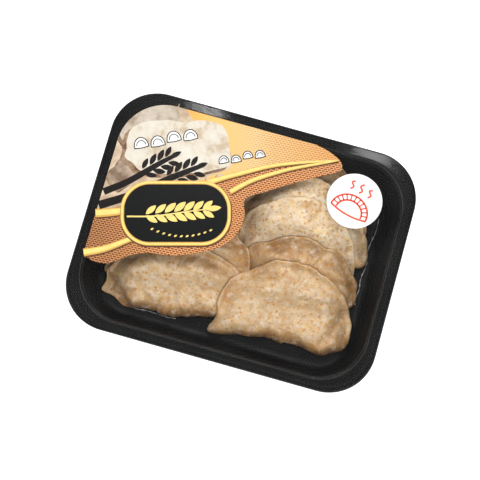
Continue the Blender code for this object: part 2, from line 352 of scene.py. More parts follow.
print(len(tray_profile()), "rings in the profile")


# %% The tray's mesh
def make_tray():
    rings = [[(x, y, height) for x, y in rounded_rectangle(*outline)]
             for *outline, height in tray_profile()]
    tray = mesh_from("tray_shell", loft(rings), sharp=40)
    if tray.data.polygons[-1].normal.z < 0:
        tray.data.flip_normals()
    shell = tray.modifiers.new("sheet", "SOLIDIFY")
    shell.thickness = WALL * MM
    shell.offset = -1.0
    return tray


tray = make_tray()
print("tray:", len(tray.data.polygons), "faces")

# %% [markdown]
# ## Black plastic
# The sheet is dyed through. Its floor and flange shine, with a faint haze from
# handling, while the wall, stretched as it was drawn into the mould, is duller, and
# the rounded edges at the rim are painted a little lighter as a painted highlight. So
# colour and roughness follow the height.

# %% The tray's material
def black_plastic():
    material, tree, shader = new_recipe("black_plastic", Specular_IOR_Level=0.13)
    place = object_place(tree)
    haze = noise(tree, place, 22, detail=3)
    hazy = ramp(tree, haze, (0.35, (0.0065, 0.0068, 0.007)), (0.7, (0.0085, 0.0088, 0.009)))
    height = add_node(tree, "SeparateXYZ", {"Vector": place}).outputs["Z"]
    share = add_node(tree, "MapRange", {"Value": height, "From Max": RIM * MM}).outputs["Result"]
    drawn = ramp(tree, share, (0.10, 0.30), (0.25, 1.0), (0.85, 1.0), (0.96, 0.0))
    # painted highlight: the rounded edges at the rim are made lighter, as light would glint on them
    painted_rim_highlight = ramp(tree, share, (0.960, 0.0), (0.972, 1.0), (0.986, 1.0), (0.996, 0.0))
    with_painted_rim_highlight = blend_colours(tree, painted_rim_highlight, hazy, (0.050, 0.053, 0.056))
    tree.links.new(blend_colours(tree, drawn, with_painted_rim_highlight, (0.0035, 0.0040, 0.0046)),
                   shader.inputs["Base Color"])
    gloss = blend_colours(tree, drawn, ramp(tree, haze, (0.3, 0.06), (0.75, 0.10)),
                          (0.9, 0.9, 0.9))
    tree.links.new(gloss, shader.inputs["Roughness"])
    return material


finish_piece(tray, black_plastic(), "black_plastic", "tray")
print("tray finished")

# %% [markdown]
# ## The dumplings' outline
# A pierog is a disc of dough folded over a spoon of filling: a half moon with a
# straight fold in front and a pinched seam round its arc. Each outline here is a
# superellipse arc closed by a straight fold, with a few local bulges, all worked out
# from a length and a depth, so that the nine differ as hand-made ones do.

# %% One row for each dumpling
# name, middle of the fold (x, y), turn, length, depth, fullness of the arc,
# bulges as (direction, height, width), and the dough's tone from 0, brown, to 1, pale
DUMPLINGS = (
    ("pierogi_right_5", (44.0, 20.0), 1.0, 86.0, 55.0, 2.25, (), 0.55),
    ("pierogi_right_4", (41.0, 9.0), -1.0, 101.0, 51.0, 2.15,
     ((29, 4.0, 16), (65, -3.0, 12), (9, -2.5, 8), (333, 2.0, 4), (179, 6.0, 14)), 0.97),
    ("pierogi_right_3", (40.0, -9.0), -5.0, 92.0, 53.5, 2.00,
     ((60, -4.5, 14), (100, -1.5, 20), (25, -0.5, 10), (170, 6.5, 15), (195, 2.0, 10)),
     1.00),
    ("pierogi_right_2", (51.0, -28.0), 5.0, 86.0, 45.0, 2.10,
     ((160, 9.0, 13), (134, 1.5, 9), (67, -3.5, 22), (8, 1.5, 9), (338, -3.0, 8),
      (190, 4.0, 14)), 0.43),
    ("pierogi_left_4", (-50.0, 13.0), -2.0, 86.0, 56.0, 2.15, ((150, 2.0, 18),), 0.50),
    ("pierogi_left_3", (-46.0, -12.0), 3.0, 90.0, 54.0, 2.05, ((215, 2.5, 10),), 0.50),
    ("pierogi_left_2", (-37.5, -37.0), 12.0, 105.0, 56.0, 2.15,
     ((30, -1.5, 16), (4, 2.0, 6), (176, 3.0, 10), (196, 3.5, 6)), 0.60),
    ("pierogi_left_1", (-37.5, -59.8), 9.0, 106.0, 48.0, 2.60,
     ((272, 4.0, 32), (312, 1.5, 12), (182, -1.5, 6), (190, 2.5, 3), (198, -9.5, 7),
      (18, 2.5, 9)), 0.69),
    ("pierogi_right_1", (46.0, -60.0), 6.0, 103.0, 57.5, 2.15,
     ((165, 3.0, 16), (10, 2.0, 14), (58, -1.2, 16), (195, -3.0, 8), (204, 7.5, 7),
      (238, -2.0, 20), (320, 6.5, 12), (338, -3.0, 10)), 0.66),
)


print(len(DUMPLINGS), "dumplings")

# %% [markdown]
# The edge is a distance in each direction from the dumpling's heart, a point inside the
# half moon. So a bulge is one bell curve over the direction, and a ragged edge is a few
# fine waves.

# %% The edge of a half moon
HEART = 0.40                    # height of the heart, as a share of the depth
CORNER_POWER = 9                # how sharply the arc meets the fold
RAGGED = 0.35                   # the pinched edge wavers by so many millimetres
LOWEST_SLOPE = 0.02             # keeps the fold's line finite beside and above the heart


def edge_radius(angle, length, depth, fullness, bulges):
    """Distance from the heart of a half moon to its edge, in a given direction."""
    turn = np.linspace(0, 2 * math.pi, 720, endpoint=False)
    cosine = np.cos(turn)
    sine = np.sin(turn)
    oval_x = length / 2 * np.sign(cosine) * np.abs(cosine) ** (2 / fullness)
    oval_y = depth * np.sign(sine) * np.abs(sine) ** (2 / fullness) - HEART * depth
    direction = np.arctan2(oval_y, oval_x)
    order = np.argsort(direction)
    arc = np.interp(angle, direction[order], np.hypot(oval_x, oval_y)[order],
                    period=2 * math.pi)
    fold = HEART * depth / np.maximum(-np.sin(angle), LOWEST_SLOPE)
    radius = (arc ** -CORNER_POWER + fold ** -CORNER_POWER) ** (-1 / CORNER_POWER)
    for towards, height, width in bulges:
        away = np.mod(angle - math.radians(towards) + math.pi, 2 * math.pi) - math.pi
        radius = radius + height * np.exp(-(away / math.radians(width)) ** 2)
    for waves, strength in ((9, 1.0), (16, 0.8), (29, 0.6)):
        radius = radius + RAGGED * strength * np.sin(waves * angle + length * waves)
    return radius


print("the first edge reaches", round(float(edge_radius(0.0, *DUMPLINGS[0][3:7])), 1), "mm")

# %% [markdown]
# ## The dough's swell and its lumps
# From the pinched seam the body rises softly over the filling, and the curd filling
# pushes lumps through the dough. Sculpting nine of these by hand would take long, so
# the swell is a formula of the distance from the edge, and the lumps are sums of sine
# waves in seeded random directions.

# %% Waves and rounds
def ripples(x, y, wavelength, seed, waves=16):
    """A smooth random relief, mostly from -1 to 1."""
    random = np.random.default_rng(seed)
    total = 0.0
    for _ in range(waves):
        heading = random.uniform(0, 2 * math.pi)
        phase = random.uniform(0, 2 * math.pi)
        pace = 2 * math.pi / (wavelength * random.uniform(0.7, 1.4))
        total = total + np.sin((x * math.cos(heading) + y * math.sin(heading)) * pace + phase)
    return total / math.sqrt(2 * waves)


def quarter_round(distance, width):
    """Rises from 0 at the edge to 1 at the given width, like a quarter circle."""
    share = np.clip(distance / width, 0, 1)
    return np.sqrt(1 - (1 - share) ** 2)


print("waves and rounds ready")

# %% The swell
RIM_THICKNESS = 2.1
RIM_ROUND = 1.1
RIM_CURL = 0.25                 # how far the seam's edge stands up
CURL_PLACE = 1.0                # how far in it is highest, and how broad it is
CURL_WIDTH = 1.6
BODY_THICKNESS = 15.5
SWELL_START = 4.0               # the body starts to rise this far from the edge
SWELL_REACH = 19.0              # and is full this much further in
SWELL_POWER = 1.25
FOLD_THICKNESS = 9.0
FOLD_HEIGHT = 0.45 * FOLD_THICKNESS     # where the fold's round is widest
FOLD_ROUND = 6.0
FOLD_REACH = 20.0
SEAM_END = 0.30                 # the seam ends this far below the heart, as a sine
SEAM_BLEND = 0.14               # and passes into the fold over so much of it


def on_seam_side(angle):
    """1 along the arc, 0 along the fold."""
    return 0.5 + 0.5 * np.tanh((np.sin(angle) + SEAM_END) / SEAM_BLEND)


print("a dumpling is up to", BODY_THICKNESS, "mm thick")


# %% Its underside and its top
def thickness(share, angle, radius, body):
    """Underside and top of a dumpling above the surface it lies on."""
    inward = (1 - share) * radius
    seam = on_seam_side(angle)
    edge = seam * RIM_THICKNESS / 2 + (1 - seam) * FOLD_HEIGHT
    rise = np.clip((inward - SWELL_START) / SWELL_REACH, 0, 1)
    dome = np.sin(math.pi / 2 * rise) ** SWELL_POWER
    curl = RIM_CURL * np.exp(-((inward - CURL_PLACE) / CURL_WIDTH) ** 2)
    over_seam = (RIM_THICKNESS / 2 * quarter_round(inward, RIM_ROUND)
                 + (body - RIM_THICKNESS) * dome + curl)
    over_fold = (body - FOLD_HEIGHT) * quarter_round(inward, FOLD_REACH)
    top = edge + seam * over_seam + (1 - seam) * over_fold
    under_seam = RIM_THICKNESS / 2 * (1 - quarter_round(inward, RIM_ROUND))
    under_fold = FOLD_HEIGHT * (1 - quarter_round(inward, FOLD_ROUND))
    under = seam * under_seam + (1 - seam) * under_fold
    return under, top


print("a dumpling's section can be worked out")

# %% Lumps
RIM_WIDTH = 9.0                 # the flat pinched seam
BROAD_LUMPS = (0.55, 17.0)      # height and width of what the filling pushes up
SMALL_LUMPS = (0.28, 8.5)
DENTS = (0.30, 5.5)             # depth and width of the small dents that fingers leave


def lumps(x, y, inward, seed):
    """Relief that the filling pushes through the dough, in millimetres."""
    inside = np.clip(inward / RIM_WIDTH, 0, 1)
    pressed = DENTS[0] * ripples(x, y, DENTS[1], seed + 1) * np.clip(inward / 2, 0, 1)
    return inside * (BROAD_LUMPS[0] * ripples(x, y, BROAD_LUMPS[1], seed)
                     + SMALL_LUMPS[0] * ripples(x, y, SMALL_LUMPS[1], seed + 2)) + pressed


print("the pinched seam is", RIM_WIDTH, "mm wide")

# %% [markdown]
# ## Creases, folded ends and blotches
# Some seams are folded over, some ends are pressed flat, and moist spots are browner.
# A crease is a short line of points with a height and a width: below zero it is a
# groove, above zero a ridge. A fold is a line on whose right-hand side the dough lies
# lower. A blotch only changes the colour. A crease also gets painted shade in its groove
# and a painted highlight on its ridge, and a fold a painted shadow at its foot. Each
# changes the relief, the tone or both.

# %% Creases
# points of the line in the tray, height, width
CREASES = {
    "pierogi_right_1": (
        (((83.8, -30.9), (80.4, -40.4), (79.0, -47.6), (74.9, -54.7)), -1.8, 2.4),
        (((88.0, -33.0), (86.0, -42.0), (84.0, -49.0)), 0.9, 3.0),
        (((43.1, -5.5), (42.3, -10.2), (41.9, -16.0)), -0.5, 1.6)),
    "pierogi_right_2": (
        (((67.7, -6.2), (75.2, -8.4), (82.5, -7.2), (85.8, -3.7)), -1.6, 2.6),
        (((10.0, -5.0), (22.0, 3.0), (36.0, 6.5), (52.0, 6.5)), -0.9, 3.5)),
    "pierogi_right_3": (
        (((29.0, 38.8), (36.0, 41.5), (42.0, 42.0), (46.0, 40.0)), 0.9, 1.6),
        (((33.0, 36.0), (38.5, 37.5), (41.0, 34.0), (42.0, 30.0)), -1.2, 2.2),
        (((62.0, 24.0), (66.6, 18.7), (71.0, 16.5)), -1.2, 2.0),
        (((67.3, 13.9), (73.3, 13.7), (77.0, 17.5)), -1.5, 1.4),
        (((72.0, 10.5), (78.0, 9.0), (83.0, 7.5)), -1.4, 1.5),
        (((77.0, 4.5), (81.0, 3.5), (85.0, 3.5)), -1.2, 1.2),
        (((72.0, 20.5), (76.0, 22.0), (78.5, 25.0)), -1.0, 1.4)),
    "pierogi_left_2": (
        (((-14.0, -5.2), (-6.6, -3.9), (-0.9, 0.3)), -1.4, 2.2),
        (((-1.3, -16.4), (2.4, -14.5), (6.8, -11.5)), -1.2, 1.8),
        (((-5.5, 5.5), (0.6, 1.4), (4.0, -2.6), (4.9, -8.3)), 0.9, 1.6)),
    "pierogi_left_1": (
        (((-32.1, -19.1), (-22.7, -16.5), (-16.0, -17.5), (-8.3, -21.8), (-2.0, -23.7)),
         -1.5, 2.8),
        (((-11.3, -23.7), (-4.9, -23.4)), -1.0, 2.2),
        (((-59.3, -53.8), (-55.4, -54.9)), -0.8, 1.8)),
}
print(sum(len(rows) for rows in CREASES.values()), "creases")

# %% Folded ends and blotches
# points of the line, drop, softness of its edge, and how far from the line it fades
FOLDS = {
    "pierogi_left_1": (
        (((-87.0, -44.5), (-80.6, -48.9), (-75.9, -52.7), (-72.9, -56.9), (-67.6, -61.2),
          (-63.0, -64.8)), 5.0, 0.8, 99.0),),
    "pierogi_right_3": ((((43.8, 29.5), (46.0, 34.0), (47.0, 40.5)), 1.8, 0.5, 7.0),),
}
# middle (x, y), radius, change of tone
BLOTCHES = {
    "pierogi_right_1": (((1.0, -38.0), 6.0, -0.22), ((11.5, -28.0), 4.0, -0.15),
                        ((54.7, -21.3), 3.0, -0.20), ((39.7, -19.5), 2.5, -0.15),
                        ((62.0, -15.0), 9.0, 0.18), ((4.0, -62.0), 8.0, 0.15),
                        ((84.0, -46.0), 9.0, -0.12)),
    "pierogi_right_2": (((26.0, 4.0), 4.0, -0.15), ((37.0, 5.0), 4.0, -0.15),
                        ((46.0, -2.0), 7.0, 0.15), ((84.0, -20.0), 7.0, -0.20),
                        ((70.0, -10.0), 7.0, 0.15), ((15.0, -4.0), 8.0, 0.10)),
    "pierogi_right_3": (((30.0, 15.0), 14.0, 0.10), ((70.0, 22.0), 5.0, 0.15)),
    "pierogi_left_1": (((-48.0, -27.0), 9.0, 0.15), ((-57.0, -54.0), 5.0, -0.20),
                       ((-14.0, -24.0), 6.0, -0.20), ((-20.0, -56.0), 8.0, -0.15)),
    "pierogi_left_2": (((-7.0, -5.0), 5.0, -0.20), ((-2.0, -15.0), 5.0, -0.15)),
}


print(sum(len(rows) for rows in BLOTCHES.values()), "blotches")


# %% Their relief and tone
def line_distance(x, y, points):
    """Distance from a broken line, positive on its left-hand side."""
    nearest = np.full(np.shape(x), 1e9)
    for (ax, ay), (bx, by) in zip(points, points[1:]):
        length = math.hypot(bx - ax, by - ay)
        along = ((x - ax) * (bx - ax) + (y - ay) * (by - ay)) / length
        across = ((bx - ax) * (y - ay) - (by - ay) * (x - ax)) / length
        beyond = along - np.clip(along, 0, length)
        distance = np.hypot(across, beyond)
        nearest = np.where(distance < np.abs(nearest), np.copysign(distance, across), nearest)
    return nearest


CREASE_PAINTED_SHADING = 0.12             # painted shade in a groove and painted highlight on a ridge, per millimetre
FOLD_PAINTED_SHADOW = 0.45               # painted shadow at the foot of a folded end
FOLD_FOOT = 1.0                 # so far from the fold's line, and so broad
FOLD_FOOT_WIDTH = 1.2


def creased(name, x, y):
    """Relief, in millimetres, and change of tone: painted shade from creases and folds, and stains
    from blotches.
    """
    relief = np.zeros(np.shape(x))
    stain_and_painted_shade = np.zeros(np.shape(x))
    for points, height, width in CREASES.get(name, ()):
        crease = height * np.exp(-(line_distance(x, y, points) / width) ** 2)
        relief = relief + crease
        # painted shade in a groove, painted highlight on a ridge
        stain_and_painted_shade = stain_and_painted_shade + CREASE_PAINTED_SHADING * crease
    for points, drop, softness, fade in FOLDS.get(name, ()):
        distance = line_distance(x, y, points)
        lowered = 0.5 - 0.5 * np.tanh(distance / softness)
        relief = relief - drop * lowered * np.exp(-(distance / fade) ** 2)
        # painted shadow along the foot of the fold
        fold_shadow = np.exp(-((distance + FOLD_FOOT) / FOLD_FOOT_WIDTH) ** 2)
        stain_and_painted_shade = stain_and_painted_shade - FOLD_PAINTED_SHADOW * fold_shadow
    for (middle_x, middle_y), reach, change in BLOTCHES.get(name, ()):
        stain_and_painted_shade = stain_and_painted_shade + change * np.exp(-((x - middle_x) ** 2 + (y - middle_y) ** 2) / reach ** 2)
    return relief, stain_and_painted_shade


print("creases, folds and blotches can be read at any point")

# %% [markdown]
# ## Laying one on another
# Soft dough sags over what it lies on. A height map of the tray keeps the top of
# everything laid so far; each new dumpling takes the blurred highest point near it as
# the surface it rests on, and adds its own top to the map. A cloth simulation could do
# this too, but the map is quicker and gives the same result each time.

# %% The tray's floor
def depth_inside(x, y, half_length, half_width, corner):
    """How far a point is inside a rounded rectangle."""
    across = np.abs(x) - (half_length - corner)
    along = np.abs(y) - (half_width - corner)
    outside = np.hypot(np.maximum(across, 0), np.maximum(along, 0))
    return corner - outside - np.minimum(np.maximum(across, along), 0)


def floor_height(x, y):
    inside = depth_inside(x, y, FOOT[0], FOOT[1], FOOT_CORNER)
    run = np.clip(FOOT_FILLET - inside, 0, FOOT_FILLET)
    return WALL + FOOT_FILLET - np.sqrt(FOOT_FILLET ** 2 - run ** 2)


print("the middle of the floor is at", round(float(floor_height(0.0, 0.0)), 1), "mm")

# %% Smoothing a map
CELL = 0.75                     # the map has a height every so many millimetres


def raised_round(field, reach):
    """The highest value within a reach of each cell."""
    steps = range(-math.ceil(reach / CELL), math.ceil(reach / CELL) + 1)
    highest = field
    for i in steps:
        for j in steps:
            if math.hypot(i, j) * CELL <= reach:
                highest = np.maximum(highest, np.roll(field, (i, j), axis=(0, 1)))
    return highest


def blurred(field, reach):
    """A soft mean over a reach, in millimetres."""
    cells = np.arange(-math.ceil(1.5 * reach / CELL), math.ceil(1.5 * reach / CELL) + 1)
    weights = np.exp(-(cells * CELL / (0.6 * reach)) ** 2)
    for axis in (0, 1):
        field = np.apply_along_axis(np.convolve, axis, field, weights / weights.sum(), "same")
    return field


print("maps can be smoothed")

# %% How dough lies
DRAPE_REACH = 2.5
DRAPE_BLUR = 3.5
# how far the back edge is propped up, by the end wall or by what is hidden below
LEAN = {"pierogi_right_5": 18.0, "pierogi_right_4": 7.0, "pierogi_left_4": 12.0}
CEILING = 39.4                  # the film holds the dough down
CEILING_SOFTNESS = 0.8
STIFF_BLUR = 13.0               # the top of a dumpling bends over bumps less than its underside
STIFF_FROM = 14.0               # distance from the edge where the top is at its stiffest


def draped(obstacle):
    """The underside of soft dough on a pile, smooth over its edges."""
    return blurred(raised_round(obstacle, DRAPE_REACH), DRAPE_BLUR)


def leaning(row, y):
    """How far the end wall props up a dumpling that leans on it."""
    name, (_, fold_y), _, _, depth = row[:5]
    return LEAN.get(name, 0.0) * np.clip((y - fold_y) / depth, 0, 1)


def held_down(top):
    """Heights that bend away from the film instead of reaching it."""
    return CEILING - CEILING_SOFTNESS * np.logaddexp(0, (CEILING - top) / CEILING_SOFTNESS)


def stiffened(base, inside, inward):
    """What the top of a dumpling follows: its base, smoothed within its outline."""
    mask = inside.astype(float)
    smooth = blurred(base * mask, STIFF_BLUR) / np.maximum(blurred(mask, STIFF_BLUR), 1e-3)
    share = np.clip(inward / STIFF_FROM, 0, 1)
    return base + (smooth - base) * share ** 2 * (3 - 2 * share)


print(len(LEAN), "dumplings are propped up")


# %% The map of the pile
MAP_HALF = (120, 100)


class Pile:
    """The height of everything laid in the tray so far."""

    def __init__(self):
        self.x = np.arange(-MAP_HALF[0], MAP_HALF[0] + 0.1, CELL)
        self.y = np.arange(-MAP_HALF[1], MAP_HALF[1] + 0.1, CELL)
        self.grid_x, self.grid_y = np.meshgrid(self.x, self.y, indexing="ij")
        self.height = floor_height(self.grid_x, self.grid_y)

    def read(self, field, x, y):
        """A field of the map between its cells, from the four that are nearest."""
        column = np.clip((x - self.x[0]) / CELL, 0, len(self.x) - 1.001)
        row = np.clip((y - self.y[0]) / CELL, 0, len(self.y) - 1.001)
        i = column.astype(int)
        j = row.astype(int)
        s = column - i
        t = row - j
        return ((1 - s) * (1 - t) * field[i, j] + s * (1 - t) * field[i + 1, j]
                + (1 - s) * t * field[i, j + 1] + s * t * field[i + 1, j + 1])


def polar(row, x, y):
    """Direction, edge distance and share of it for points of the tray, from the heart."""
    (middle_x, middle_y), turn, length, depth, fullness, bulges = row[1:7]
    cosine = math.cos(math.radians(turn))
    sine = math.sin(math.radians(turn))
    local_x = cosine * (x - middle_x) + sine * (y - middle_y)
    local_y = cosine * (y - middle_y) - sine * (x - middle_x) - HEART * depth
    angle = np.arctan2(local_y, local_x)
    radius = edge_radius(angle, length, depth, fullness, bulges)
    return angle, radius, np.hypot(local_x, local_y) / radius


pile = Pile()
print("map of", len(pile.x), "by", len(pile.y), "cells")

# %% [markdown]
# ## Building a dumpling's mesh
# Blender's UV sphere already has what a closed bun needs: rings that shrink to a point
# above and below. Each vertex keeps its direction, its ring becomes a distance from
# the edge, and the formulas above give its height.

# %% Rings from the edge to the heart
SEGMENTS = 180
RINGS = 88
EDGE_STEPS = 0.14               # share of the rings on the rounded edge
SEAM_STEPS = 0.42               # share of the rings from the edge to the seam's inner side


def ring_inward(height, radius):
    """The distance from the edge for each ring of a ball: fine at the edge, then wider."""
    latitude = np.abs(np.arcsin(np.clip(height, -1, 1)))
    step = latitude / (math.pi / 2)
    at_edge = RIM_ROUND * (1 - np.cos(np.clip(step / EDGE_STEPS, 0, 1) * math.pi / 2))
    on_seam = np.interp(step, (EDGE_STEPS, SEAM_STEPS), (0, RIM_WIDTH - RIM_ROUND))
    on_body = np.interp(step, (SEAM_STEPS, 1.0), (0, 1)) * (radius - RIM_WIDTH)
    return at_edge + on_seam + on_body


print("each mesh has", SEGMENTS, "by", RINGS, "faces")

# %% Laying a dumpling on the pile
LIE_GAP = 0.25
PRESSED = 0.30                  # share of its thickness that a dumpling loses under others
PRESS_BLUR = 7.0
SPREAD = 1.03                   # it rests on what lies under its outline and a little around


def lay(row, seed, later_rows):
    """Adds a dumpling to the map; returns its thickness, its base and its top's base."""
    angle, radius, share = polar(row, pile.grid_x, pile.grid_y)
    covered = np.zeros_like(pile.height)
    for later in later_rows:
        covered = np.maximum(covered, polar(later, pile.grid_x, pile.grid_y)[2] < 1)
    body = BODY_THICKNESS * (1 - PRESSED * blurred(covered, PRESS_BLUR))
    base = (draped(np.where(share < SPREAD, pile.height, WALL)) + LIE_GAP
            + leaning(row, pile.grid_y))
    within = np.minimum(share, 1)
    inward = (1 - within) * radius
    lifted = stiffened(base, share < SPREAD, inward)
    relief = (lumps(pile.grid_x, pile.grid_y, inward, seed)
              + creased(row[0], pile.grid_x, pile.grid_y)[0])
    top = held_down(lifted + thickness(within, angle, radius, body)[1] + relief)
    pile.height = np.where(share < 1, np.maximum(pile.height, top), pile.height)
    return body, base, lifted


print("a dumpling under others loses", PRESSED, "of its thickness")

# %% The tone of its dough
RELIEF_PAINTED_SHADE = 0.08             # painted shade and highlight: lumps are paler and hollows darker, for each millimetre, as light would fall
SEAM_STAIN_AND_SHADE = 0.14               # the seam is browner in patches, partly the thin dough's colour and partly painted shade in the valley inside the rim
SEAM_TONE_END = 12.0            # that fades out this far in, over so many millimetres
SEAM_TONE_FADE = 6.0
LOW_SIDE_PAINTED_SHADE = 0.75                # painted shade on the low side under the fold, where the dough curves away from the light
LOW_WIDTH = 6.0
EDGE_PAINTED_HIGHLIGHT = 0.10               # painted highlight: the seam's very edge is paler, as if lit through
HIGHLIGHT_WIDTH = 1.3
CLOUDS = (0.10, 14.0)           # strength and size of the broad clouds of tone
PATCHES = 22.0                  # size of the patches on the seam
GRAIN_STEP = 61.0               # each dumpling takes its grain from another place


def coat(mesh, number, tone, seed, x, y, z, angle, inward, relief, stain_and_painted_shade):
    """Writes the tone, with painted shade and highlights in it, and the place of the grain, on each
    vertex.
    """
    seam = on_seam_side(angle)
    # the seam zone: darker partly from thin dough and partly from painted shade
    thin = seam * np.clip((SEAM_TONE_END - inward) / SEAM_TONE_FADE, 0, 1)
    # painted highlight along the seam's very edge
    painted_edge_highlight = seam * np.exp(-(inward / HIGHLIGHT_WIDTH) ** 2)
    # painted shade on the low side under the fold
    painted_low_shade = (1 - seam) * np.exp(-(inward / LOW_WIDTH) ** 2)
    # the dough's own tone, its stains and blotches, and painted shade and highlights, summed
    shade = (tone + stain_and_painted_shade + RELIEF_PAINTED_SHADE * relief - LOW_SIDE_PAINTED_SHADE * painted_low_shade
             + EDGE_PAINTED_HIGHLIGHT * painted_edge_highlight
             - SEAM_STAIN_AND_SHADE * thin * (0.8 + 0.6 * ripples(x, y, PATCHES, seed + 4))
             + CLOUDS[0] * ripples(x, y, CLOUDS[1], seed + 5))
    # the tone carries painted shade and highlights as well as the dough's colour
    colour_coat = mesh.attributes.new("tone", "FLOAT", "POINT")
    colour_coat.data.foreach_set("value", np.clip(shade, 0, 1).astype(np.float32))
    grain_place = mesh.attributes.new("grain", "FLOAT_VECTOR", "POINT")
    grain = np.stack([x + GRAIN_STEP * number, y, z], axis=1) * MM
    grain_place.data.foreach_set("vector", grain.astype(np.float32).ravel())


print("tones can be written")

# %% A dumpling's mesh
LEAST_THICKNESS = 0.6


def make_dumpling(number, row, later_rows):
    name, (middle_x, middle_y), turn, length, depth, fullness, bulges, tone = row
    seed = 100 + 10 * number
    body, base, lifted = lay(row, seed, later_rows)

    form = bmesh.new()
    bmesh.ops.create_uvsphere(form, u_segments=SEGMENTS, v_segments=RINGS, radius=1)
    ball = np.array([vertex.co for vertex in form.verts])
    angle = np.arctan2(ball[:, 1], ball[:, 0])
    radius = edge_radius(angle, length, depth, fullness, bulges)
    inward = np.minimum(ring_inward(ball[:, 2], radius), radius)
    share = 1 - inward / radius
    local_x = share * radius * np.cos(angle)
    local_y = share * radius * np.sin(angle) + HEART * depth
    cosine = math.cos(math.radians(turn))
    sine = math.sin(math.radians(turn))
    x = middle_x + cosine * local_x - sine * local_y
    y = middle_y + sine * local_x + cosine * local_y

    under, top = thickness(share, angle, radius, pile.read(body, x, y))
    folds, stain_and_painted_shade = creased(name, x, y)
    relief = lumps(x, y, inward, seed)
    resting = pile.read(base, x, y)
    top = held_down(pile.read(lifted, x, y) + top + relief + folds)
    top = np.maximum(top, resting + under + LEAST_THICKNESS)
    z = np.where(ball[:, 2] > 0, top, resting + under)
    for vertex, point in zip(form.verts, np.stack([x, y, z], axis=1) * MM):
        vertex.co = point
    piece = mesh_from(name + "_dough", form, sharp=180)
    coat(piece.data, number, tone, seed, x, y, z, angle, inward, relief, stain_and_painted_shade)
    return piece


print("dumplings can be made")

# %% [markdown]
# ## Wholemeal dough
# Boiled wholemeal dough is beige and a little translucent, with orange-brown flecks
# of bran and paler floury patches. The broad tone comes with the mesh, painted shade
# in its hollows and creases included, and noise of four sizes adds cloud, grain, flecks
# and a few dark specks. A touch of subsurface light softens the edges as in real dough.

# %% Relief and moved places
def bump(tree, shader, height, depth, strength=1.0):
    """Relief from a number, so many millimetres deep."""
    node = add_node(tree, "Bump", {"Height": height, "Distance": depth * MM,
                                   "Strength": strength})
    tree.links.new(node.outputs["Normal"], shader.inputs["Normal"])


def shifted(tree, place, metres):
    """The same place moved aside, so that two noises of one size differ."""
    move = add_node(tree, "VectorMath", operation="ADD")
    tree.links.new(place, move.inputs[0])
    move.inputs[1].default_value = (metres, metres, metres)
    return move.outputs["Vector"]


print("relief can be added")


# %% Flecks of bran
def flecks(tree, place, spacing, radius, chosen):
    """Scattered ragged spots: their soft radius, and which share of cells has one."""
    ragged = add_node(tree, "TexNoise", {"Vector": place, "Scale": 1 / (0.3 * spacing * MM)})
    spread = add_node(tree, "VectorMath", {"Scale": 0.35 * spacing * MM}, operation="SCALE")
    tree.links.new(ragged.outputs["Color"], spread.inputs[0])
    torn = add_node(tree, "VectorMath", operation="ADD")
    tree.links.new(place, torn.inputs[0])
    tree.links.new(spread.outputs["Vector"], torn.inputs[1])
    cells = add_node(tree, "TexVoronoi", {"Vector": torn.outputs["Vector"],
                                          "Scale": 1 / (spacing * MM)})
    spot = ramp(tree, cells.outputs["Distance"], (radius[0], 0.85), (radius[1], 0.0))
    kept = ramp(tree, cells.outputs["Color"], (chosen[0], 0.0), (chosen[1], 1.0))
    return blend_colours(tree, 1.0, spot, kept, way="MULTIPLY")


print("flecks can be scattered")


# %% The dough's material
def wholemeal_dough():
    material, tree, shader = new_recipe("wholemeal_dough", Roughness=0.45,
                                        Subsurface_Weight=0.12, Subsurface_Scale=0.004)
    shader.inputs["Subsurface Radius"].default_value = (1.0, 0.6, 0.35)
    place = add_node(tree, "Attribute", attribute_name="grain").outputs["Vector"]
    tone = add_node(tree, "Attribute", attribute_name="tone").outputs["Fac"]
    base = ramp(tree, tone, (0.0, (0.26, 0.14, 0.068)), (0.35, (0.55, 0.355, 0.19)),
                (0.65, (0.73, 0.53, 0.325)), (1.0, (0.90, 0.75, 0.55)))
    cloud = noise(tree, place, 9.0, detail=5, roughness=0.65)
    clouded = blend_colours(tree, ramp(tree, cloud, (0.46, 0.0), (0.68, 0.65)),
                            base, (0.50, 0.28, 0.11))
    pale = noise(tree, place, 5.0, detail=5, roughness=0.7)
    floury = blend_colours(tree, ramp(tree, pale, (0.50, 0.0), (0.66, 0.75)),
                           clouded, (0.85, 0.72, 0.57))
    warmth = noise(tree, shifted(tree, place, 0.5), 3.5, detail=3, roughness=0.7)
    warmed = blend_colours(tree, 1.0, floury,
                           ramp(tree, warmth, (0.42, (0.96, 0.97, 1.0)), (0.62, (1.0, 0.88, 0.62))),
                           way="MULTIPLY")
    grain = noise(tree, place, 1.4, detail=3, roughness=0.7)
    grained = blend_colours(tree, ramp(tree, grain, (0.50, 0.0), (0.70, 0.5)),
                            warmed, (0.46, 0.26, 0.10))
    bran = flecks(tree, place, 4.2, (0.12, 0.38), (0.40, 0.54))
    branny = blend_colours(tree, bran, grained, (0.56, 0.23, 0.035))
    crumbs = flecks(tree, shifted(tree, place, 0.3), 2.4, (0.10, 0.42), (0.50, 0.64))
    flecked = blend_colours(tree, crumbs, branny, (0.48, 0.21, 0.05))
    tree.links.new(flecked, shader.inputs["Base Color"])
    moist = ramp(tree, pale, (0.35, 0.34), (0.7, 0.55))
    tree.links.new(moist, shader.inputs["Roughness"])
    bump(tree, shader, noise(tree, place, 2.2, detail=4, roughness=0.6), 0.35, 0.4)
    return material


dough = wholemeal_dough()
print("the dough's recipe has", len(dough.node_tree.nodes), "nodes")

# %% The nine dumplings
for number, row in enumerate(DUMPLINGS):
    piece = make_dumpling(number, row, DUMPLINGS[number + 1:])
    finish_piece(piece, dough, "wholemeal_dough", row[0])
    print(row[0], "rises to", round(max(v.co.z for v in piece.data.vertices) / MM, 1), "mm")

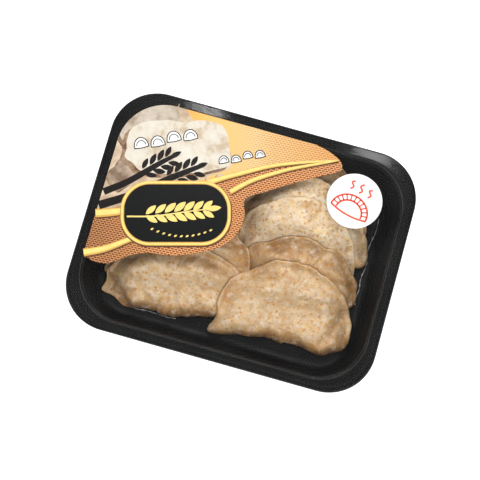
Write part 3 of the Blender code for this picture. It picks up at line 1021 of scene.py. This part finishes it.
# %% [markdown]
# ## The wet edge
# Two thin beads of moisture stand on the tray's floor beside the dumplings and catch
# the light; their pale grey, which varies along them, is partly the cloudy water's
# colour and partly painted highlight. Each is a round wire, half sunk in the floor,
# along a wavering line that is smoothed through a few points.

# %% The moisture
def moisture():
    material, tree, shader = new_recipe("moisture", Roughness=0.12, Alpha=0.7)
    cloud = noise(tree, object_place(tree), 6)
    # pale grey in patches: partly cloudy water, partly painted highlight
    tree.links.new(ramp(tree, cloud, (0.35, (0.25, 0.26, 0.27)), (0.60, (0.85, 0.86, 0.87))),
                   shader.inputs["Base Color"])
    return material


wet = moisture()
print("moisture mixed")

# %% A smooth line
def smooth_through(points, steps):
    """A smooth open line through a few points (Catmull-Rom)."""
    first = 2 * np.array(points[0]) - points[1]
    last = 2 * np.array(points[-1]) - points[-2]
    line = np.array([first, *points, last], dtype=float)
    smooth = []
    for a, b, c, d in zip(line, line[1:], line[2:], line[3:]):
        for t in np.arange(steps) / steps:
            smooth.append(0.5 * (2 * b + (c - a) * t + (2 * a - 5 * b + 4 * c - d) * t ** 2
                                 + (3 * b - a - 3 * c + d) * t ** 3))
    smooth.append(line[-2])
    return np.array(smooth)


print("lines can be smoothed")


# %% The wet edge
BEAD = 0.45
RIGHT_BEAD = ((92.5, 50.0), (92.7, 39.0), (91.5, 32.0), (90.5, 23.0), (92.1, 16.0), (92.0, 9.0),
              (91.1, 4.5), (91.2, -1.0), (91.8, -6.0), (91.2, -13.5), (91.9, -18.0))
FRONT_BEAD = ((-72.0, -63.0), (-67.8, -64.0), (-61.8, -64.2), (-54.4, -63.6), (-44.8, -63.9),
              (-39.2, -64.2), (-32.5, -63.4))


def wet_line(name, points, sides=8):
    """A bead whose radius swells and shrinks along a smooth line."""
    line = smooth_through(points, 6)
    rings = []
    for i, (x, y) in enumerate(line):
        ahead = line[min(i + 1, len(line) - 1)] - line[max(i - 1, 0)]
        across = np.array([-ahead[1], ahead[0]]) / np.hypot(*ahead)
        radius = BEAD * (0.75 + 0.4 * math.sin(1.3 * i)) * min(1, (i + 0.2) / 3)
        floor_z = float(floor_height(x, y))
        rings.append([(x + across[0] * radius * math.cos(t), y + across[1] * radius
                       * math.cos(t), floor_z + radius * math.sin(t))
                      for t in (2 * math.pi * s / sides for s in range(sides))])
    finish_piece(mesh_from(name, loft(rings), sharp=180), wet, "clear_film")


wet_line("moisture_right", RIGHT_BEAD)
wet_line("moisture_front", FRONT_BEAD)
print("wet edge laid")

# %% [markdown]
# ## The clear film
# A thin clear film is sealed on the flange. It is nearly invisible from above and
# shines at low angles. It is a lofted sheet with a faint ripple rather than a plane,
# because film never lies quite flat between its seals.

# %% The film
FILM_INSET = 1.0
FILM_THICKNESS = 0.06
FILM_RIPPLE = 0.10


def make_film():
    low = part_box("film")[0].z / MM
    rings = []
    for share in (1.0, 0.96, 0.92, 0.86, 0.78, 0.68, 0.56, 0.42, 0.27, 0.12):
        outline = rounded_rectangle((OUTER[0] - FILM_INSET) * share, (OUTER[1] - FILM_INSET)
                                    * share, (OUTER_CORNER - FILM_INSET) * share)
        x, y = np.array(outline).T
        loose = min(1.0, (1 - share) / 0.12)
        z = low + FILM_RIPPLE + FILM_RIPPLE * loose * ripples(x, y, 55.0, 7)
        rings.append(list(zip(x, y, z)))
    film = mesh_from("film_sheet", loft(rings), sharp=180)
    if film.data.polygons[-1].normal.z < 0:
        film.data.flip_normals()
    sheet = film.modifiers.new("sheet", "SOLIDIFY")
    sheet.thickness = FILM_THICKNESS * MM
    return film


def clear_film():
    material, tree, shader = new_recipe("clear_film", Roughness=0.25, Alpha=0.05)
    smear = noise(tree, object_place(tree), 30, detail=2)
    colour = ramp(tree, smear, (0.4, (0.02, 0.02, 0.02)), (0.7, (0.06, 0.06, 0.06)))
    tree.links.new(colour, shader.inputs["Base Color"])
    return material


finish_piece(make_film(), clear_film(), "clear_film", "film")
print("film finished")

# %% [markdown]
# ## The label's shape
# The label is a printed film that covers the back left of the lid. Two of its sides
# follow the tray's opening and the others run in soft lobes towards the food. Its
# outline is the rounded rectangle's own corner, closed by a smooth line through a few
# points.

# %% The label's outline
LABEL_OVERLAP = 0.6
label_low, label_high = (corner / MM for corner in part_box("label"))
LABEL_HALF = (OPENING[0] + LABEL_OVERLAP, OPENING[1] + LABEL_OVERLAP)
LABEL_LOBES = ((-LABEL_HALF[0], -41.0), (-96.0, -43.4), (-86.0, -41.3), (-75.0, -33.0),
               (-62.0, -27.0), (-45.0, -24.2), (-28.0, -17.5), (-13.0, -8.5), (-4.6, 3.5),
               (-2.6, 17.0), (-5.6, 29.3), (9.0, 39.8), (31.0, 54.0), (52.5, 66.2),
               (55.3, 70.5), (52.0, 75.3), (43.0, 79.4), (33.0, LABEL_HALF[1]))


def label_corner(steps=24):
    """The label's round back left corner, from its back side to its left side."""
    outline = rounded_rectangle(*LABEL_HALF, OPENING_CORNER, steps)
    half = len(outline) // 2
    return outline[half:half + steps + 1]


print("label is", round(label_high.x - label_low.x), "by",
      round(label_high.y - label_low.y), "mm")

# %% [markdown]
# ## Printed patches
# Print could be an image laid over the label. Here each printed shape is a patch of its
# own, a filled curve turned into a mesh, so it stays crisp close up. Each lies a hair
# above what it covers: a level is a height above the table.

# %% A printed patch
def patch(name, outline, level, material, thickness=0.02):
    """A thin printed shape on the label: a filled outline, as a mesh."""
    curve = bpy.data.curves.new(name, "CURVE")
    curve.dimensions = "2D"
    curve.fill_mode = "BOTH"
    curve.extrude = thickness / 2 * MM
    spline = curve.splines.new("POLY")
    spline.points.add(len(outline) - 1)
    for point, (x, y) in zip(spline.points, outline):
        point.co = (x * MM, y * MM, 0.0, 1.0)
    spline.use_cyclic_u = True
    drawn = bpy.data.objects.new(name, curve)
    mesh = bpy.data.meshes.new_from_object(drawn)
    bpy.data.objects.remove(drawn)
    for vertex in mesh.vertices:
        vertex.co.z += (level + thickness / 2) * MM
    piece = bpy.data.objects.new(name, mesh)
    bpy.context.scene.collection.objects.link(piece)
    return finish_piece(piece, material, "printed_label")


print("patches can be printed")

# %% [markdown]
# ## Printed sackcloth
# Most of the label shows orange-brown sackcloth: light threads with small dark gaps in
# staggered rows. Blender's brick texture draws just that when its bricks are the gaps
# and its mortar the threads.

# %% The directions of the print
PRINT_TURN = math.radians(15.7)     # the print runs at this angle to the tray
WEAVE_TURN = math.radians(4)


def print_place(tree, turn=PRINT_TURN):
    """Coordinates in millimetres, turned to the direction of the print."""
    node = add_node(tree, "Mapping", {"Vector": object_place(tree),
                                      "Rotation": (0, 0, -turn),
                                      "Scale": (1 / MM, 1 / MM, 1 / MM)})
    return node.outputs["Vector"]


def along_print(tree, low, high):
    """0 to 1 across the label, along the direction of the print."""
    across = add_node(tree, "SeparateXYZ", {"Vector": print_place(tree)}).outputs["X"]
    node = add_node(tree, "MapRange", {"Value": across, "From Min": low, "From Max": high})
    return node.outputs["Result"]


print("the print runs at", round(math.degrees(PRINT_TURN), 1), "degrees")


# %% The label's sheet
def weave(tree, place, gap, other_gap, thread):
    """Staggered dark gaps between threads, in the colours given."""
    node = add_node(tree, "TexBrick", {"Vector": place, "Scale": 1.0, "Color1": (*gap, 1),
                                       "Color2": (*other_gap, 1), "Mortar": (*thread, 1),
                                       "Mortar Size": 0.36, "Mortar Smooth": 0.3,
                                       "Brick Width": 2.7, "Row Height": 1.55})
    return node.outputs["Color"]


def printed_sackcloth():
    material, tree, shader = new_recipe("printed_sackcloth", Roughness=0.25,
                                        Specular_IOR_Level=0.25)
    woven = weave(tree, print_place(tree, WEAVE_TURN), (0.05, 0.012, 0.004),
                  (0.16, 0.045, 0.014), (0.80, 0.37, 0.15))
    thread = noise(tree, object_place(tree), 3.5, detail=3)
    worn = blend_colours(tree, ramp(tree, thread, (0.35, 0.0), (0.75, 0.45)),
                         woven, (0.55, 0.21, 0.07))
    shade = ramp(tree, along_print(tree, -112.0, -50.0), (0.0, 0.62), (1.0, 1.0))
    colour = blend_colours(tree, 1.0, worn, shade, "MULTIPLY")
    tree.links.new(colour, shader.inputs["Base Color"])
    return material


label = patch("label_sheet", label_corner() + [tuple(p) for p in smooth_through(LABEL_LOBES, 8)],
              label_low.z, printed_sackcloth(), thickness=label_high.z - label_low.z)
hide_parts("label")
PRINT = label_high.z + 0.01
print("label sheet finished")

# %% [markdown]
# ## The label's colour fields
# A beige field with a few pale lumps of curd fills the back left corner, and an ochre
# field fades to pale gold beside it. All are thin patches on the sackcloth, cut with
# the label's own outline, so that their edges stay crisp however close one looks.

# %% The beige field
BEIGE_EDGE = ((-64.2, LABEL_HALF[1]), (-57.5, 75.5), (-50.0, 75.8), (-44.4, 72.5),
              (-35.0, 66.5), (-25.5, 60.5), (-21.6, 52.0), (-24.5, 46.0), (-33.0, 40.0),
              (-40.1, 34.0), (-52.0, 27.0), (-70.0, 16.0), (-88.0, 2.0),
              (-LABEL_HALF[0], -9.0))


def beige_print():
    material, tree, shader = new_recipe("beige_print", Roughness=0.25, Specular_IOR_Level=0.25)
    cloud = noise(tree, object_place(tree), 12, detail=4, roughness=0.6)
    colour = blend_colours(tree, ramp(tree, cloud, (0.38, 0.0), (0.62, 0.9)),
                           (0.66, 0.53, 0.38), (0.42, 0.29, 0.19))
    tree.links.new(colour, shader.inputs["Base Color"])
    return material


beige_outline = label_corner() + [(-LABEL_HALF[0], 20.0)]
beige_outline += [tuple(p) for p in smooth_through(BEIGE_EDGE, 6)][::-1]
patch("label_beige", beige_outline, PRINT + 0.01, beige_print())
print("beige field printed")

# %% The gold field
GOLD_EDGE = ((-41.0, 31.5), (-26.1, 39.8), (-13.3, 47.4), (6.4, 58.5), (27.0, 66.8),
             (51.6, 75.1))
GOLD_BACK = ((52.0, 75.3), (43.0, 79.4), (33.0, LABEL_HALF[1]), (-66.0, LABEL_HALF[1]),
             (-66.0, 60.0), (-50.0, 40.0))


def gold_print():
    material, tree, shader = new_recipe("gold_print", Roughness=0.25, Specular_IOR_Level=0.25)
    share = along_print(tree, -45.0, 66.0)
    colour = ramp(tree, share, (0.0, (0.84, 0.38, 0.07)), (0.28, (0.84, 0.50, 0.16)),
                  (0.50, (0.80, 0.57, 0.28)), (1.0, (0.72, 0.39, 0.14)))
    woven = weave(tree, print_place(tree, WEAVE_TURN), (0.42, 0.20, 0.07), (0.60, 0.34, 0.14),
                  (1.0, 0.95, 0.85))
    colour = blend_colours(tree, ramp(tree, share, (0.25, 0.0), (0.6, 0.6)), colour, woven,
                           "MULTIPLY")
    tree.links.new(colour, shader.inputs["Base Color"])
    return material


gold_outline = [tuple(p) for p in smooth_through(GOLD_EDGE, 6)]
patch("label_gold", [*gold_outline, *GOLD_BACK], PRINT, gold_print())
print("gold field printed")

# %% [markdown]
# ## Lumps of curd
# Pale lumps of curd cheese lie on the beige field. A lump is a squarish oval with an
# uneven edge, drawn twice: a darker side, and a paler top moved up and to the right, so
# that a flat print looks like a block.

# %% The lumps of curd
# middle, half sizes, turn and squareness of each printed lump, and its share of shade
CURDS = (
    ((-88.0, 66.0), (24.0, 14.0), 42, 3.0, 0.40),
    ((-93.0, 27.0), (15.0, 9.5), 62, 3.2, 0.80),
    ((-62.5, 53.0), (36.0, 20.5), 17, 3.6, 0.0),
    ((-27.0, 40.0), (3.4, 2.4), 30, 2.5, 0.3),
    ((-35.0, 35.5), (2.2, 1.6), 10, 2.5, 0.2),
    ((-84.0, 8.0), (7.0, 4.0), 35, 2.8, 0.85),
)
LABEL_EDGE = 0.1                # print stops this far inside the label's edge


def on_label(points):
    """Points pulled in to the label's round corner and left side."""
    centre = (OPENING_CORNER - LABEL_HALF[0], LABEL_HALF[1] - OPENING_CORNER)
    kept = []
    for x, y in points:
        x = max(x, -LABEL_HALF[0] + LABEL_EDGE)
        away = math.hypot(x - centre[0], y - centre[1])
        if x < centre[0] and y > centre[1] and away > OPENING_CORNER - LABEL_EDGE:
            shrink = (OPENING_CORNER - LABEL_EDGE) / away
            x = centre[0] + (x - centre[0]) * shrink
            y = centre[1] + (y - centre[1]) * shrink
        kept.append((x, y))
    return kept


print(len(CURDS), "lumps planned")


# %% The shape of a lump
def turned(points, centre, turn):
    """Points turned about (0, 0) and then moved to a centre."""
    cosine = math.cos(turn)
    sine = math.sin(turn)
    return [(centre[0] + cosine * x - sine * y, centre[1] + sine * x + cosine * y)
            for x, y in points]


def curd_outline(half, power, grow, seed):
    """A block with blunt corners and a broken, uneven edge."""
    points = []
    for angle in np.radians(range(0, 360, 4)):
        uneven = 1 + sum(0.05 / (i + 1) * math.sin((2 + 3 * i) * angle + seed * (i + 1))
                         for i in range(5))
        square = (abs(math.cos(angle)) ** power + abs(math.sin(angle)) ** power) ** (-1 / power)
        points.append(((half[0] * uneven * square + grow) * math.cos(angle),
                       (half[1] * uneven * square + grow) * math.sin(angle)))
    return points


print("lumps can be drawn")


# %% Printing the lumps
def curd_print(name, shade):
    """Clouded cream, or brown where the shade is 1."""
    material, tree, shader = new_recipe(name, Roughness=0.25, Specular_IOR_Level=0.25)
    cloud = noise(tree, object_place(tree), 14, detail=6, roughness=0.7)
    light = ramp(tree, cloud, (0.38, (0.52, 0.41, 0.29)), (0.48, (0.67, 0.60, 0.49)),
                 (0.64, (0.72, 0.68, 0.60)))
    dark = ramp(tree, cloud, (0.42, (0.12, 0.055, 0.028)), (0.66, (0.48, 0.34, 0.22)))
    tree.links.new(blend_colours(tree, shade, light, dark), shader.inputs["Base Color"])
    return material


for i, (centre, half, turn, power, shade) in enumerate(CURDS):
    drop = 0.16 * half[1]
    layers = (("side", 1.0, (-0.7 * drop, -drop)), ("top", shade, (0.0, 0.0)))
    for layer, (part, darkness, (across, along)) in enumerate(layers):
        lump = turned(curd_outline(half, power, -0.3 * layer, i), centre, math.radians(turn))
        moved = on_label([(x + across, y + along) for x, y in lump])
        patch(f"curd_{i}_{part}", moved, PRINT + 0.02 + 0.006 * i + 0.003 * layer,
              curd_print(f"curd_{part}_{i}", darkness))
print(len(CURDS), "lumps of curd")

# %% [markdown]
# ## Golden bands
# Curved golden bands with a thin dark shadow cross the label. A ribbon is a smooth
# line with a width at each point; its outline is the line moved to both sides. Each
# ink is one colour with a trace of unevenness.

# %% Plain inks
def plain_print(name, colour, speckle=0.12):
    """A flat printed colour with a trace of uneven ink."""
    material, tree, shader = new_recipe(name, Roughness=0.25, Specular_IOR_Level=0.25)
    uneven = noise(tree, object_place(tree), 4.0, detail=3)
    darker = tuple(channel * (1 - speckle) for channel in colour)
    tree.links.new(ramp(tree, uneven, (0.35, darker), (0.7, colour)),
                   shader.inputs["Base Color"])
    return material


ochre_ink = plain_print("ochre_ink", (0.70, 0.40, 0.09))
gold_ink = plain_print("gold_ink", (0.93, 0.70, 0.22))
shadow_ink = plain_print("shadow_ink", (0.13, 0.055, 0.025))
print("three inks mixed")


# %% Golden bands
def ribbon(points, widths, shift=(0.0, 0.0), grow=0.0):
    """The outline of a band along a smooth line, with its half widths."""
    line = smooth_through(points, 8) + np.array(shift)
    half = np.interp(np.linspace(0, 1, len(line)), np.linspace(0, 1, len(widths)), widths)
    along = np.gradient(line, axis=0)
    along /= np.linalg.norm(along, axis=1)[:, None]
    side = np.stack([-along[:, 1], along[:, 0]], axis=1) * (half + grow)[:, None]
    return [tuple(p) for p in line + side] + [tuple(p) for p in (line - side)[::-1]]


BANDS = (
    ("upper", ((-37.9, 31.5), (-26.1, 39.3), (-13.3, 46.9), (6.4, 58.0), (27.0, 66.3),
               (51.2, 74.6)), (2.3, 1.9, 1.7, 1.4, 1.0, 0.5)),
    ("lower", ((-17.5, 31.5), (-3.5, 44.5), (17.8, 58.2), (37.9, 68.3), (51.2, 74.3)),
     (1.9, 1.6, 1.3, 0.9, 0.4)),
    ("left_back", ((-LABEL_HALF[0], -9.6), (-97.3, -6.5), (-86.0, -2.0)), (3.1, 3.0, 2.7)),
    ("left_front", ((-LABEL_HALF[0], -39.2), (-92.2, -32.3), (-76.6, -20.8)),
     (2.8, 2.5, 1.9)),
)
for name, points, widths in BANDS:
    patch("band_shadow_" + name, ribbon(points, widths, (0.5, -0.9), 0.1), PRINT + 0.04,
          shadow_ink)
    patch("band_" + name, ribbon(points, widths), PRINT + 0.06, ochre_ink)
    patch("band_light_" + name, ribbon(points, [0.62 * w for w in widths], (-0.1, 0.2)),
          PRINT + 0.08, gold_ink)
print(len(BANDS), "bands")

# %% [markdown]
# ## The dark plaque and the wheat on it
# The middle of the label is a dark plaque with a golden border. Its drawing here is a
# plain ear of wheat, made by a loop: pairs of grains along a stem, each a pointed oval.

# %% The plaque
PLAQUE_CENTRE = (-50.8, 6.0)
PLAQUE_HALF = (39.6, 23.6)
PLAQUE_CORNER = 21.0


def plaque_outline(inset):
    return turned(rounded_rectangle(PLAQUE_HALF[0] - inset, PLAQUE_HALF[1] - inset,
                                    PLAQUE_CORNER - inset), PLAQUE_CENTRE, PRINT_TURN)


def lens(length, width, steps=10):
    """A pointed oval, as of a grain or a leaf, from (0, 0) along +X."""
    across = [(length * s / steps, width / 2 * math.sin(math.pi * s / steps) ** 0.8)
              for s in range(steps + 1)]
    return across + [(x, -y) for x, y in across[-2:0:-1]]


black_ink = plain_print("black_ink", (0.003, 0.0035, 0.004), speckle=0.3)
patch("plaque_shadow", turned(plaque_outline(-0.5), (0.5, -0.7), 0.0), PRINT + 0.09,
      shadow_ink)
patch("plaque_border", plaque_outline(0.0), PRINT + 0.11, ochre_ink)
patch("plaque_gold", plaque_outline(0.5), PRINT + 0.13, gold_ink)
patch("plaque_line", plaque_outline(1.9), PRINT + 0.15, ochre_ink)
patch("plaque_field", plaque_outline(2.6), PRINT + 0.17, black_ink)
print("plaque finished")

# %% [markdown]
# ## An ear of wheat
# An ear is a stem and pairs of grains that shrink towards its ends. It is made by a loop,
# so that the same few lines draw the golden ear on the plaque and the dark ears beside it.

# %% The ear's outlines
def wheat_outlines(length, pairs, grain, stem):
    """A stem and its grains, from (0, 0) along +X."""
    pitch = 0.62 * grain[0]
    first = length - pitch * pairs - 0.6 * grain[0]
    outlines = [ribbon(((0, 0), (length * 0.3, -1.4), (length * 0.7, 0.0), (length - 4, 0.3)),
                       (1.2 * stem, stem, 0.6 * stem))]
    for pair in range(pairs):
        shrink = 1 - 0.3 * abs(pair - 0.4 * pairs) / pairs
        for side in (1, -1):
            outlines.append(turned(lens(grain[0] * shrink, grain[1] * shrink),
                                   (first + pair * pitch, side * stem),
                                   side * math.radians(36)))
    outlines.append(turned(lens(grain[0], grain[1] * 0.9), (length - grain[0], 0.3), 0.03))
    return outlines


def draw_wheat(name, start, turn, length, pairs, grain, stem, level, ink):
    for i, outline in enumerate(wheat_outlines(length, pairs, grain, stem)):
        patch(f"{name}_{i}", turned(outline, start, turn), level + 0.001 * i, ink)


print(len(wheat_outlines(68.0, 7, (11.0, 4.6), 0.5)), "outlines in the golden ear")

# %% The golden ear and its arc of dots
ear_start = turned([(-35.0, -2.5)], PLAQUE_CENTRE, PRINT_TURN)[0]
draw_wheat("plaque_wheat", ear_start, PRINT_TURN + math.radians(5), 68.0, 7, (11.0, 4.6), 0.5,
           PRINT + 0.19, gold_ink)
for count in range(11):
    across = -18.0 + 4.2 * count
    mark = turned(lens(2.6, 1.3), (across, -17.5 + 0.011 * (across - 4) ** 2), 0.5)
    patch(f"plaque_mark_{count}", turned(mark, PLAQUE_CENTRE, PRINT_TURN), PRINT + 0.19,
          gold_ink)
print("golden ear drawn")

# %% [markdown]
# ## Dark ears on the curd
# Two long dark ears lie across the curd. They reuse the ear above with thicker stems.

# %% Dark ears
stalk_ink = plain_print("stalk_ink", (0.009, 0.006, 0.005), speckle=0.4)
draw_wheat("stalk_back", (-105.0, 7.0), math.radians(43), 63.0, 4, (10.0, 4.2), 2.2,
           PRINT + 0.07, stalk_ink)
draw_wheat("stalk_front", (-105.5, -3.5), math.radians(37), 84.0, 4, (10.0, 4.2), 2.6,
           PRINT + 0.07, stalk_ink)
print("dark ears drawn")

# %% [markdown]
# ## A row of small half moons
# Two short rows of white half moons with a dark outline stand above the plaque. Each is
# a dark shape with a slightly smaller white one on it and a thin seam.

# %% Half moons
def half_moon_outline(width, depth, grow):
    arc = [((width / 2 + grow) * math.cos(t), (depth + grow) * math.sin(t))
           for t in np.linspace(0, math.pi, 15)]
    return arc + [(-width / 2 - grow, -0.12 * depth - grow), (0.0, -0.2 * depth - grow),
                  (width / 2 + grow, -0.12 * depth - grow)]


TITLE_TURN = math.radians(27)
white_ink = plain_print("white_ink", (0.90, 0.90, 0.88))
TITLES = (((-88.0, 46.0), 4, 12.0, (9.5, 6.0)), ((-27.5, 51.0), 4, 8.8, (6.4, 4.0)))
for line, (start, count, pitch, (width, depth)) in enumerate(TITLES):
    for i in range(count):
        place = turned([(i * pitch, 0.6 * (-1) ** i)], start, TITLE_TURN)[0]
        for layer, (ink, grow) in enumerate(((stalk_ink, 0.7), (white_ink, 0.0))):
            moon = turned(half_moon_outline(width, depth, grow), place, TITLE_TURN)
            patch(f"title_{line}_{i}_{layer}", moon, PRINT + 0.09 + 0.01 * layer, ink)
        seam = ribbon([(0.36 * width * math.cos(t), 0.68 * depth * math.sin(t))
                       for t in np.linspace(0.1, math.pi - 0.1, 7)], (0.3, 0.3))
        patch(f"title_seam_{line}_{i}", turned(seam, place, TITLE_TURN), PRINT + 0.12, stalk_ink)
print("half moons drawn")

# %% [markdown]
# ## The round sticker
# A white paper sticker sits at the back right. It is a thin disc with a soft edge. Real
# paper is a little fibrous, so its white and its relief waver finely.

# %% The sticker
sticker_low, sticker_high = (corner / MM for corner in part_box("sticker"))
STICKER_RADIUS = (sticker_high.x - sticker_low.x) / 2
STICKER_CENTRE = ((sticker_low.x + sticker_high.x) / 2, (sticker_low.y + sticker_high.y) / 2)


def circle(radius, height, steps=96):
    turn = [2 * math.pi * s / steps for s in range(steps)]
    return [(STICKER_CENTRE[0] + radius * math.cos(t), STICKER_CENTRE[1]
             + radius * math.sin(t), height) for t in turn]


def make_sticker():
    top = sticker_high.z
    rings = [circle(STICKER_RADIUS - 1.0, sticker_low.z), circle(STICKER_RADIUS, sticker_low.z),
             circle(STICKER_RADIUS, top - 0.05), circle(STICKER_RADIUS - 0.06, top),
             circle(STICKER_RADIUS - 2.0, top), circle(STICKER_RADIUS * 0.5, top + 0.02)]
    form = loft(rings)
    form.faces.new([v for v in form.verts][:96][::-1])
    return mesh_from("sticker_disc", form, sharp=40)


def white_paper():
    material, tree, shader = new_recipe("white_paper", Roughness=0.4)
    fibre = noise(tree, object_place(tree), 1.2, detail=3)
    tree.links.new(ramp(tree, fibre, (0.3, (0.93, 0.925, 0.925)), (0.7, (0.96, 0.955, 0.955))),
                   shader.inputs["Base Color"])
    bump(tree, shader, fibre, 0.02, 0.3)
    return material


finish_piece(make_sticker(), white_paper(), "white_paper", "sticker")
print("sticker radius", round(STICKER_RADIUS, 1), "mm")

# %% [markdown]
# ## The drawing on the sticker
# The drawing shows a steaming dumpling in a few strokes of red ink. A stroke is a ribbon
# of even width, turned with the sticker.

# %% The drawing
ICON_TURN = math.radians(-14)
red_ink = plain_print("red_ink", (0.86, 0.10, 0.05))


def icon_stroke(name, points, half_width=0.7):
    placed = turned([tuple(p) for p in points], STICKER_CENTRE, ICON_TURN)
    patch(name, ribbon(placed, (half_width, half_width)), sticker_high.z + 0.03, red_ink)


def half_moon(width, depth, low, steps=9):
    return [(width * math.cos(math.radians(t)), low + depth * math.sin(math.radians(t)))
            for t in np.linspace(0, 180, steps)]


ICON_LOW = -9.5
icon_stroke("icon_edge", half_moon(14.0, 13.0, ICON_LOW))
icon_stroke("icon_seam", half_moon(9.8, 8.8, ICON_LOW))
icon_stroke("icon_fold", ((-14.0, ICON_LOW), (-5.0, ICON_LOW - 1.7), (5.0, ICON_LOW - 1.7),
                          (14.0, ICON_LOW)))
for count, degrees in enumerate(range(15, 166, 15)):
    out = math.radians(degrees)
    icon_stroke(f"icon_crimp_{count}",
                ((9.8 * math.cos(out), ICON_LOW + 8.8 * math.sin(out)),
                 (14.0 * math.cos(out), ICON_LOW + 13.0 * math.sin(out))), 0.5)
for count, across in enumerate((-7.0, 0.0, 7.0)):
    icon_stroke(f"icon_steam_{count}", ((across, 6.5), (across + 1.4, 9.0), (across - 1.0, 11.5),
                                        (across + 0.8, 14.0 - 0.12 * abs(across))))
print("drawing finished")
